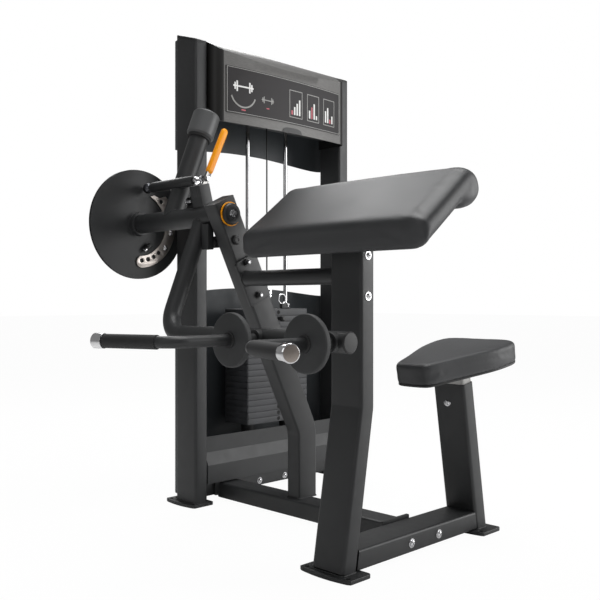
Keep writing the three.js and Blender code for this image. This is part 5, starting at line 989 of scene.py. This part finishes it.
# Pivot, cap, stop
ring_profile = soft_profile([(29.6, 0.3), (33, 0.3), (33, 4.3), (29.6, 4.3), (29.6, 0.3)], 0.9)
fit(turned("pivot_ring", ring_profile, [POST_FACE, 0, PIVOT_Z], X, 72), "frame", AMBER)
cap_profile = soft_profile([
    (0, 0.4), (29.3, 0.4), (29.8, 5), (29.4, 9.5), (26, 13.6), (20, 15.1), (12.6, 15.2), (12.2, 13.4),
    (0, 13.2)], 1.6)
fit(turned("pivot_cap_disc", cap_profile, [POST_FACE, 0, PIVOT_Z], X, 72), "frame", BLACK, "pivot_cap")
hex_bolt("pivot_bolt", [POST_FACE + 13.1, 0, PIVOT_Z], X, "frame", 8.2, 7, 11.6)
axle_profile = soft_profile([
    (0, -845.3), (24, -845.3), (24, -841.3), (15, -841.3), (15, POST_FACE), (0, POST_FACE)], 0.6)
fit(turned("axle_rod", axle_profile, PIVOT, X, 40), "frame", STEEL, "pivot_axle")
hex_bolt("axle_end_bolt", [-845.2, 0, PIVOT_Z], -X, "frame", 9.5, 0.9, 14)

# Cam, index plate, arm
cam_profile = soft_profile([
    (15.3, -841), (168, -841), (168, -838.9), (157.3, -838.4), (157.3, -833.6), (168, -833.1), (168, -831),
    (36, -831), (36, -810), (15.3, -810), (15.3, -841),
], 1.2, 4)
fit(turned("cam_wheel", cam_profile, PIVOT, X, 128), "cam", FRAME_PAINT, "cam_disc")
stop_along = unit([0, -19, -16])
stop_place = np.array([-822.0, 30, PIVOT_Z - 67.5])
stop_block = soft_profile([(0, -8), (9, -8), (9, 12), (0, 12)], 1.6)
fit(turned("cam_stop_block", stop_block, stop_place, stop_along, 32), "cam", BLACK)
stop_tip = soft_profile([(0, 11.8), (6.4, 11.8), (6.4, 22), (0, 22)], 1.2)
fit(turned("cam_stop_tip", stop_tip, stop_place, stop_along, 32), "cam", CHROME)
INDEX_R = math.hypot(110, 16)
INDEX_IN, INDEX_OUT = 97.0, 134.0
index_from, index_to = np.radians([-86.0, 30.0])
sweep = np.linspace(index_from, index_to, 60)


def round_about(radius, angle):
    """Points at a radius and some angles."""
    return radius * np.stack([np.cos(angle), np.sin(angle)], -1)


end_turn = np.linspace(index_from + np.pi, index_from + 2 * np.pi, 14)[:-1]
fan = np.radians([36.0, 44.0, 50.0, 59.0])
fan_reach = INDEX_OUT * np.array([1.035, 1.01, 0.84, 0.82])
end_middle = round_about((INDEX_IN + INDEX_OUT) / 2, np.array([index_from]))
index_outline = np.concatenate([
    end_middle + round_about((INDEX_OUT - INDEX_IN) / 2, end_turn),
    round_about(INDEX_OUT, sweep),
    fan_reach[:, None] * round_about(1.0, fan),
    round_about(INDEX_IN, np.linspace(math.radians(66), index_to, 14)),
    round_about(INDEX_IN, sweep[::-1])[1:-1],
])
hole_angles = np.radians([*(-86 + 12 * i for i in range(4)), 43])
index_holes = [circle(7, 28) + round_about(INDEX_R, turn) for turn in hole_angles]
index = plate("index_arc", index_outline, index_holes, 4.6, [-830.7, 0, PIVOT_Z], Y, Z, 0.7)
fit(index, "cam", INDEX_STEEL, "index_plate")
for i, degrees in enumerate((-36, -10, 16)):
    spot = round_about(118.0, math.radians(degrees))
    button_bolt(f"index_bolt_{i}", [-826.1, spot[0], PIVOT_Z + spot[1]], X, "cam", 5.5, 8)

HUB_START = DIAGONAL_X - 25.6
hub_profile = soft_profile([
    (15.3, -809.7), (29, -809.7), (29, HUB_START), (15.3, HUB_START), (15.3, HUB_START - 28),
    (23, HUB_START - 28), (23, -781.7), (15.3, -781.7), (15.3, -809.7),
], 1.4, 4)
fit(turned("hub_tube", hub_profile, PIVOT, X, 64), "arm", FRAME_PAINT, "arm_hub")
BLOCK_LEAN = math.radians(15)
block_across, block_up = leaning(BLOCK_LEAN)


def block_part(name, x, width, across, up):
    """A slab of the leaning block, between two places across it and two up it."""
    centre = np.array([x, 14.6, PIVOT_Z]) + block_across * sum(across) / 2 + block_up * sum(up) / 2
    outline = rounded(across[1] - across[0], up[1] - up[0], 1.6, 4)
    return plate(name, outline, [], width, centre, block_across, block_up, 1.0)


block_parts = [
    block_part("release_block_low", -542, 45, (-19, 19), (24, 62)),
    block_part("release_block_far", -542, 12.8, (-19, 19), (60, 93)),
    block_part("release_block_near", -509.8, 12.8, (-19, 19), (60, 93)),
    block_part("release_block_front", -530, 21, (-19, -11), (60, 93)),
]
fit(joined("release_block", block_parts), "arm", FRAME_PAINT)
shank = soft_profile([(0, -1), (4.6, -1), (4.6, 17), (0, 17)], 0.4)
fit(turned("block_bolt_shank", shank, [-541.8, -20, 924], -X, 24), "arm", CHROME)
hex_bolt("block_bolt", [-553, -20, 924], -X, "arm", 9.5, 8, 11.5)
lug = plate("stop_lug", rounded(20, 70, 2), [], 29, [HUB_START - 35, -20, PIVOT_Z - 59], Y, Z, 1.0)
fit(lug, "arm", FRAME_PAINT)

# The lug's stop on the diagonal post
stop_arm = plate("stop_arm", rounded(10, 32, 2), [], 50, [DIAGONAL_X - 75.3, 9.3, PIVOT_Z - 72], Y, Z, 1.0)
fit(stop_arm, "frame", FRAME_PAINT, "stop_bracket")
stop_pad = soft_profile([(0, -9.7), (11, -9.7), (13, -5), (13, 4.3), (0, 4.3)], 1.5)
fit(turned("stop_pad", stop_pad, [HUB_START - 20.5, 0, PIVOT_Z - 72], Y, 36), "frame", RUBBER)

TILT = math.radians(21.8)
ARM_DOWN = -leaning(-TILT)[1]
INDEX_SPOT = np.array([0, 16, PIVOT_Z + 110])


def arm_point(x, reach):
    return PIVOT + ARM_DOWN * reach + X * x


WEIGHT_X, LEVER_X, LEVER_REACH = -662.0, -511.0, 349.0
weight_line = [arm_point(WEIGHT_X, -8), arm_point(WEIGHT_X, -306)]
weight_tube = round_tube("counterweight_stem", 29.5, weight_line, X, 4)
fit(weight_tube, "arm", FRAME_PAINT, "counterweight_tube")
barrel = soft_profile([(5.3, -779), (15.5, -779), (15.5, -571.6), (5.3, -571.6), (5.3, -779)], 1.2)
fit(turned("index_barrel", barrel, INDEX_SPOT, X, 40), "arm", FRAME_PAINT)
weight_profile = soft_profile([
    (30, 280), (36.5, 280), (41.5, 285), (41.5, 353), (38, 358), (0, 358.2), (0, 305), (30, 305),
    (30, 280)], 2.2)
weight_foot = PIVOT + X * WEIGHT_X
weight_head = turned("counterweight_head", weight_profile, weight_foot, -ARM_DOWN, 72)
fit(weight_head, "arm", WEIGHT_PAINT, "counterweight")
seal = [(29.6, 272), (34.5, 272), (36, 276), (36, 280.6), (29.6, 280.6), (29.6, 272)]
fit(turned("counterweight_seal", seal, weight_foot, -ARM_DOWN, 64), "arm", RUBBER)
ball_turn = np.linspace(math.radians(30), math.radians(150), 16)
round_part = np.stack([16 * np.sin(ball_turn), -804.3 - 16 * np.cos(ball_turn)], -1)
ball_profile = np.array([
    (5.3, -822.3), (8, -822.3), *round_part, (9, -788.3), (9, -779.3), (5.3, -779.3), (5.3, -822.3)])
fit(turned("index_ball", ball_profile, INDEX_SPOT, X, 48), "arm", DARK_STEEL, "index_collar")

ELBOW = arm_point(LEVER_X, LEVER_REACH)
CROSS = arm_point(0, LEVER_REACH)
arm_path = bent([arm_point(LEVER_X, 16), ELBOW, CROSS + X * 150], 72, 22)
arm_side = unit(np.cross(ARM_DOWN, X))
fit(round_tube("lever_tube", 24, arm_path, arm_side, facets=56), "arm", FRAME_PAINT, "lever_arm")
end_cap = soft_profile([(0, 149.5), (24.6, 149.5), (24.6, 152), (21, 154.6), (0, 155)], 1.4)
HUB_RING = 29.6


def saddle(radius, x, reach_sign):
    """The curve where a round tube of that radius on the arm's line meets the hub."""
    t = np.linspace(0, 2 * np.pi, 60, endpoint=False)
    across = np.cross(ARM_DOWN, X)
    along = np.sqrt(HUB_RING ** 2 - (radius * np.sin(t)) ** 2) * reach_sign
    sideways = across * (radius * np.sin(t))[:, None]
    return PIVOT + X * (x + radius * np.cos(t))[:, None] + sideways + ARM_DOWN * along[:, None]


bead("lever_weld", saddle(24.4, LEVER_X, 1), "arm", 2.2)
bead("counterweight_weld", saddle(29.3, WEIGHT_X, -1), "arm", 2.0)

# Handles
HANDLE_TURN, HANDLE_BEND = math.radians(70), 55.0
for hand, side in (("right", -1), ("left", 1)):
    body = f"handle_{hand}"
    x = side * 120.0
    boss = soft_profile([(13.8, -32), (22, -32), (22, 32), (13.8, 32), (13.8, -32)], 1.4)
    fit(turned(f"boss_{hand}", boss, [x, CROSS[1], CROSS[2]], Y, 48), "arm", FRAME_PAINT)
    out = np.array([side * math.sin(HANDLE_TURN), -math.cos(HANDLE_TURN), 0])
    bend_at = np.array([x, -393.0, CROSS[2]])
    path = bent([[x, -92, CROSS[2]], bend_at, bend_at + out * 203], HANDLE_BEND, 18)
    fit(round_tube(f"handle_tube_{hand}", 13.5, path, Z, 3), body, FRAME_PAINT, f"handle_bar_{hand}")
    hex_bolt(f"handle_nut_{hand}", [x, CROSS[1] + 32.4, CROSS[2]], Y, body, 19.5, 6, 19.5, STEEL)
    disc = soft_profile([(13.7, -236), (63, -236), (63, -221), (13.7, -221), (13.7, -236)], 4.5, 8)
    fit(turned(f"guard_{hand}", disc, [x, 0, CROSS[2]], Y, 96), body, FOAM, f"guard_disc_{hand}")
    lip = soft_profile([(13.6, -240), (19, -240), (20, -235.5), (13.6, -235.5), (13.6, -240)], 1.0)
    fit(turned(f"guard_lip_{hand}", lip, [x, 0, CROSS[2]], Y, 40), body, RUBBER)
    start = HANDLE_BEND * math.tan(HANDLE_TURN / 2) + 0.4
    sleeve = soft_profile([(13.8, start), (16, start), (16, 179.9), (13.8, 179.9), (13.8, start)], 0.8)
    fit(turned(f"grip_sleeve_{hand}", sleeve, bend_at, out, 48), body, RUBBER, f"grip_{hand}")
    cap = soft_profile([
        (13.8, 180.3), (17.5, 180.3), (17.5, 205.4), (15.5, 207.2), (0, 207.4), (0, 204.2), (13.8, 204),
        (13.8, 180.3)], 0.9)
    fit(turned(f"grip_end_{hand}", cap, bend_at, out, 56), body, CHROME, f"grip_cap_{hand}")
    face = [(0, 207.1), (15.2, 207.1), (15.2, 207.7), (14.7, 207.9), (0, 207.9)]
    fit(turned(f"grip_face_{hand}", face, bend_at, out, 56), body, END_STEEL)
fit(turned("lever_end_cap", end_cap, [0, CROSS[1], CROSS[2]], X, 48), "arm", BLACK)

# Release lever and index pin
RELEASE = math.radians(24.9)
RELEASE_ACROSS, RELEASE_UP = leaning(-RELEASE)
RELEASE_FOOT = np.array([-519.5, 0, PIVOT_Z + 74])
slab = plate("release_bar", rounded(16, 198, 8, 10) + [0, 91], [circle(6.4, 28) + [0, 39.4]], 8,
             RELEASE_FOOT - X * 4, RELEASE_ACROSS, RELEASE_UP, 0.8)
fit(slab, "release", STEEL, "release_lever")
hinge_pin = soft_profile([(0, -16), (3, -16), (3, 16), (0, 16)], 0.5)
fit(turned("release_hinge_pin", hinge_pin, RELEASE_FOOT, Y, 24), "release", STEEL)


def amber_sleeve():
    """The grip: rounded rectangles stacked along the lever, drawn in at both ends by a quarter circle."""
    turn = np.linspace(0, np.pi / 2, 9)
    low = [(57 + 10.5 * (1 - math.sin(t)), 10.5 * (1 - math.cos(t))) for t in turn[::-1]]
    high = [(205 - 10.5 * (1 - math.sin(t)), 10.5 * (1 - math.cos(t))) for t in turn]
    rings = []
    for place, inset in [*low, *high]:
        section = rounded(22 - 1.55 * inset, 14 - 0.75 * inset, max(6.2 - 0.3 * inset, 2), 6)
        centre = RELEASE_FOOT + RELEASE_UP * place
        rings.append(centre + section[:, :1] * RELEASE_ACROSS + section[:, 1:] * X)
    return loft("amber_sleeve", np.array(rings), crease=60)


fit(amber_sleeve(), "release", AMBER, "release_grip")
pin_profile = soft_profile([
    (0, -825), (4, -825), (5, -824), (5, -632.5), (4, -632.5), (4, -515.2), (7, -515.2), (7, -509.2),
    (0, -509.2)], 0.6)
fit(turned("index_rod", pin_profile, INDEX_SPOT, X, 32), "pin", CHROME, "index_pin")

for name, place in (("near", -539.5), ("far", -566.0)):
    hex_bolt(f"index_nut_{name}", INDEX_SPOT + X * place, X, "pin", 10, 7, 11)

# Seat slide and pads
SEAT_UP = leaning(SEAT_LEAN)[1]
SEAT_TOP = np.array(seat_path[1], float)
SEAT_FORWARD = np.cross(X, SEAT_UP)
slide = box_tube("seat_slide_box", 93.2, 43.2, 6, [SEAT_TOP - SEAT_UP * 203.3, SEAT_TOP + SEAT_UP * 26.7], X)
fit(slide, "seat", STEEL, "seat_slide_tube")
base_spot = SEAT_TOP + SEAT_UP * 25.7
fit(plate("seat_base_plate", rounded(120, 190, 9), [], 5, base_spot, X, -SEAT_FORWARD), "seat", FRAME_PAINT)

SEAT_WIDTH, SEAT_LENGTH = 258.0, 350.0
SEAT_HALF = np.array([
    (0.14, 0.532), (0.2, 0.512), (0.236, 0.462), (0.312, 0.286), (0.43, 0.03),
    (0.476, -0.09), (0.5, -0.22), (0.497, -0.345), (0.45, -0.425), (0.35, -0.46)]) * [SEAT_WIDTH, SEAT_LENGTH]


def closed_curve(points, count):
    """A smooth closed line through points: a centripetal spline, resampled at even steps of its length."""
    points = np.asarray(points, float)
    before, after, beyond = np.roll(points, 1, 0), np.roll(points, -1, 0), np.roll(points, -2, 0)

    def knot(a, b):
        return np.sqrt(np.linalg.norm(b - a, axis=1))

    t0 = np.zeros(len(points))
    t1 = t0 + knot(before, points)
    t2 = t1 + knot(points, after)
    t3 = t2 + knot(after, beyond)
    fine = []
    for share in np.linspace(0, 1, 24, endpoint=False):
        t = t1 + (t2 - t1) * share

        def between(a, b, ta, tb):
            return a * ((tb - t) / (tb - ta))[:, None] + b * ((t - ta) / (tb - ta))[:, None]

        a1 = between(before, points, t0, t1)
        a2 = between(points, after, t1, t2)
        a3 = between(after, beyond, t2, t3)
        fine.append(between(between(a1, a2, t0, t2), between(a2, a3, t1, t3), t1, t2))
    return even_steps(np.stack(fine, 1).reshape(-1, 2), count)


seat_outline = closed_curve(np.concatenate([SEAT_HALF, SEAT_HALF[::-1] * [-1, 1]]), 160)


def stacked(name, rows, low):
    """The seat's outline stacked in height: each row has its lift off the low level and its inset."""
    rings = []
    for lift, inset in rows:
        scale = np.maximum(1 - 2 * inset / np.array([SEAT_WIDTH, SEAT_LENGTH]), 0.03)
        flat = seat_outline * scale
        rings.append(SEAT_TOP + SEAT_UP * (low + lift) + flat[:, :1] * X + flat[:, 1:] * SEAT_FORWARD)
    return loft(name, np.array(rings), crease=60)


def seat_cushion():
    """The seat: nearly upright sides drawn in a little, a rim rounded over 12 and a low crown."""
    turn = np.linspace(0, np.pi / 2, 8)
    rows = [(4 - 4 * math.sin(t), 2.2 + 4 - 4 * math.cos(t)) for t in turn[::-1]]
    rows += [(10, 1.2), (22, 1.6), (34, 1.2), (40, 0.8)]
    rows += [(45 + 12 * math.sin(t), 0.8 + 12 * (1 - math.cos(t))) for t in turn]
    crown_shares = (0.12, 0.25, 0.4, 0.55, 0.7, 0.85, 0.97)
    rows += [(57 + 3.5 * (1 - (1 - share) ** 2), 13 + share * 112) for share in crown_shares]
    return stacked("seat_cushion", rows, 35.5)


def settled(piece):
    """The piece's modifiers worked into its mesh."""
    mesh = bpy.data.meshes.new_from_object(piece.evaluated_get(bpy.context.evaluated_depsgraph_get()))
    piece.modifiers.clear()
    piece.data = mesh
    return piece


def stuffed(piece, voxel, reach, down):
    """The cover blown up over its foam by inner pressure; a point moves reach at most, none on the board."""
    remesh = piece.modifiers.new("even cover", "REMESH")
    remesh.mode = "VOXEL"
    remesh.voxel_size = voxel / 1000
    settled(piece)
    start = mesh_points(piece.data)
    normals = np.empty(start.size)
    piece.data.vertices.foreach_get("normal", normals)
    flat = np.flatnonzero(normals.reshape(-1, 3) @ down > 0.9)
    piece.vertex_groups.new(name="board").add(flat.tolist(), 1.0, "REPLACE")
    cloth = piece.modifiers.new("stuffing", "CLOTH")
    cloth.settings.use_pressure = True
    cloth.settings.uniform_pressure_force = 4
    cloth.settings.effector_weights.gravity = 0
    cloth.settings.vertex_group_mass = "board"
    for frame_number in range(1, 21):
        bpy.context.scene.frame_set(frame_number)
    settled(piece)
    move = mesh_points(piece.data) - start
    length = np.linalg.norm(move, axis=1)[:, None]
    end = start + move * np.minimum(1, reach / 1000 / np.maximum(length, 1e-9))
    piece.data.vertices.foreach_set("co", end.ravel())
    bpy.context.scene.frame_set(1)
    smooth = piece.modifiers.new("stretched cover", "SMOOTH")
    smooth.factor = 0.5
    smooth.iterations = 6
    finer = piece.modifiers.new("finer cover", "SUBSURF")
    finer.levels = finer.render_levels = 1
    settled(piece)
    piece.data.shade_smooth()
    return piece


seat = stuffed(seat_cushion(), 4.0, 1.2, -SEAT_UP)
fit(seat, "seat", LEATHERETTE, "seat_pad")
board_rows = [(0, 5.0), (0.8, 4.2), (5.4, 3.6), (6.2, 4.2), (6.4, 8.0)]
fit(stacked("seat_board", board_rows, 31.2), "seat", BLACK)

PAD_FRONT = np.array([-58.0, 818.0])
PAD_THICK, PAD_ROLL, PAD_RUN = 70.0, 50.0, 162.0
PAD_X, PAD_HALF = -10.0, 298.0


def pad_section():
    """The arm pad's section in (y, z): a sloping slab with a rolled upper edge and a leaning front face."""
    along = np.array([math.cos(PAD_ANGLE), math.sin(PAD_ANGLE)])
    down = np.array([math.sin(PAD_ANGLE), -math.cos(PAD_ANGLE)])
    face = np.array([math.sin(math.radians(13)), -math.cos(math.radians(13))])
    bottom = PAD_FRONT + face * PAD_THICK / (face @ down)
    top_end = PAD_FRONT + along * PAD_RUN / along[0]
    roll = top_end + down * PAD_ROLL
    tuck = math.acos((PAD_THICK - PAD_ROLL) / PAD_ROLL)
    angle = np.linspace(PAD_ANGLE - math.pi / 2 - tuck, PAD_ANGLE + math.pi / 2, 40)[:, None]
    rolled = roll + PAD_ROLL * np.hstack([np.cos(angle), np.sin(angle)])
    outline = np.concatenate([
        rolled, fillet(top_end, PAD_FRONT, bottom, 16, 12), fillet(PAD_FRONT, bottom, rolled[0], 10, 10)])
    return outline, (PAD_FRONT + bottom) / 2 + along * PAD_THICK / 2, roll


def arm_cushion():
    """The arm pad: its section carried along x, drawn to its spine over a quarter oval at both ends."""
    outline, low, high = pad_section()
    outline = even_steps(outline, 150)
    share = np.clip((outline - low) @ (high - low) / ((high - low) @ (high - low)), 0, 1)
    core = low + share[:, None] * (high - low)
    out = outline - core
    reach = np.linalg.norm(out, axis=1)
    turn = np.linspace(0, np.pi / 2, 14)
    ends = [(PAD_HALF - 2 - 44 * (1 - math.sin(t)), 2 + 26 * (1 - math.cos(t))) for t in turn]
    middle = [(x, 2.0) for x in np.linspace(PAD_HALF - 46, 46 - PAD_HALF, 41)[1:-1]]
    rings = []
    for x, squeeze in [*ends[::-1], *middle, *((-x, s) for x, s in ends)]:
        crown = 2.5 * (x / PAD_HALF) ** 2
        kept = reach - squeeze - np.where(out[:, 1] > 0, crown, 0)
        section = core + out * (kept / reach)[:, None]
        rings.append(np.column_stack([np.full(len(section), x + PAD_X), section]))
    return loft("arm_cushion", np.array(rings), crease=60)


pad = stuffed(arm_cushion(), 5.0, 1.4, -leaning(PAD_ANGLE)[1])
fit(pad, "frame", LEATHERETTE, "arm_pad")

# Bolts
for name, y, z, radius, washer in (
    ("main_post_bolt_upper", 50, 752, 7.5, 10.5), ("main_post_bolt_lower", 50, 655, 7.5, 10.5),
    ("seat_rail_bolt_0", 219, 35, 9, 12), ("seat_rail_bolt_1", 335, 35, 9, 12),
):
    button_bolt(name, [50.2, y, z], X, "frame", radius, washer)
button_bolt("seat_post_bolt", [-8, 457.6, 363], -Y, "frame", 8.5, 11)
for i, (y, z) in enumerate(((50.0, 750.0), (95.0, 660.5))):
    hex_bolt(f"cross_plate_nut_{i}", [POST_FACE + 10.2, y, z], X, "frame", 10, 6.5, 12, BLACK)
    stub = soft_profile([(0, 7.4), (5.8, 7.4), (5.8, 14.5), (3.4, 15.6), (3, 14.8), (0, 14.6)], 0.8)
    fit(turned(f"cross_plate_stub_{i}", stub, [POST_FACE + 10.2, y, z], X, 32), "frame", CHROME)
for i, y in enumerate((426.0, 543.0)):
    button_bolt(f"tower_rail_bolt_{i}", [-746.9, y, 37], X, "frame", 8, 11)

# CAD pieces that keep their shape get a procedural finish
for name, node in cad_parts.items():
    if node.hide_render:
        continue
    material = {"arm_pad_bracket": STEEL}.get(name, FRAME_PAINT)
    node.data.materials.clear()
    node.data.materials.append(material)

# Floor, light and camera
scene = bpy.context.scene
scene.view_settings.view_transform = "Standard"


def camera_mix(tree, lit, white, share, output):
    """Mixes plain white into what only the camera sees, by a share."""
    rays = tree.nodes.new("ShaderNodeLightPath")
    portion = tree.nodes.new("ShaderNodeMath")
    portion.operation = "MULTIPLY"
    portion.inputs[1].default_value = share
    blend = tree.nodes.new("ShaderNodeMixShader")
    tree.links.new(rays.outputs["Is Camera Ray"], portion.inputs[0])
    tree.links.new(portion.outputs[0], blend.inputs[0])
    tree.links.new(lit.outputs[0], blend.inputs[1])
    tree.links.new(white.outputs[0], blend.inputs[2])
    tree.links.new(blend.outputs[0], output.inputs[0])


floor_look = bpy.data.materials.new("floor_white")
floor_look.use_nodes = True
tree = floor_look.node_tree
paint = tree.nodes["Principled BSDF"]
paint.inputs["Base Color"].default_value = (0.9, 0.9, 0.9, 1)
paint.inputs["Roughness"].default_value = 0.9
camera_mix(tree, paint, tree.nodes.new("ShaderNodeEmission"), 0.97, tree.nodes["Material Output"])

floor_mesh = bpy.data.meshes.new("floor")
floor_mesh.from_pydata([(-30, -30, 0), (30, -30, 0), (30, 30, 0), (-30, 30, 0)], [], [(0, 1, 2, 3)])
floor = bpy.data.objects.new("floor", floor_mesh)
scene.collection.objects.link(floor)
floor_mesh.materials.append(floor_look)

world = bpy.data.worlds.new("studio")
world.use_nodes = True
scene.world = world
tree = world.node_tree
background = tree.nodes["Background"]
background.inputs["Color"].default_value = (1, 1, 1, 1)
background.inputs["Strength"].default_value = 0.26
white = tree.nodes.new("ShaderNodeBackground")
white.inputs["Color"].default_value = (1, 1, 1, 1)
camera_mix(tree, background, white, 1.0, tree.nodes["World Output"])


def lamp(name, spot, target, size, power):
    """A soft square lamp that faces a point."""
    light = bpy.data.lights.new(name, "AREA")
    light.size = size
    light.energy = power
    holder = bpy.data.objects.new(name, light)
    scene.collection.objects.link(holder)
    holder.location = spot
    holder.rotation_euler = (Vector(target) - Vector(spot)).to_track_quat("-Z", "Y").to_euler()


lamp("top_soft", (0.3, 0.3, 3.4), (0.1, 0.1, 0.6), 1.8, 66)
lamp("right_soft", (2.7, 3.3, 1.5), (0, 0, 0.7), 2.3, 88)
lamp("sheen_back", (-2.5, 1.3, 3.1), (0, 0, 0.8), 1.6, 62)
lamp("front_fill", (1.6, -3.8, 2.2), (0, 0, 0.7), 2.0, 14)

camera_data = bpy.data.cameras.new("camera")
SENSOR_WIDTH, FOCAL_PIXELS, PICTURE_PIXELS = 36.0, 822.0, 600.0
camera_data.sensor_width = SENSOR_WIDTH
camera_data.lens = SENSOR_WIDTH * FOCAL_PIXELS / PICTURE_PIXELS
camera = bpy.data.objects.new("camera", camera_data)
scene.collection.objects.link(camera)
camera.location = metres([1313, -1441, 646])
camera.rotation_euler = (math.radians(90), 0, math.radians(45))
scene.camera = camera
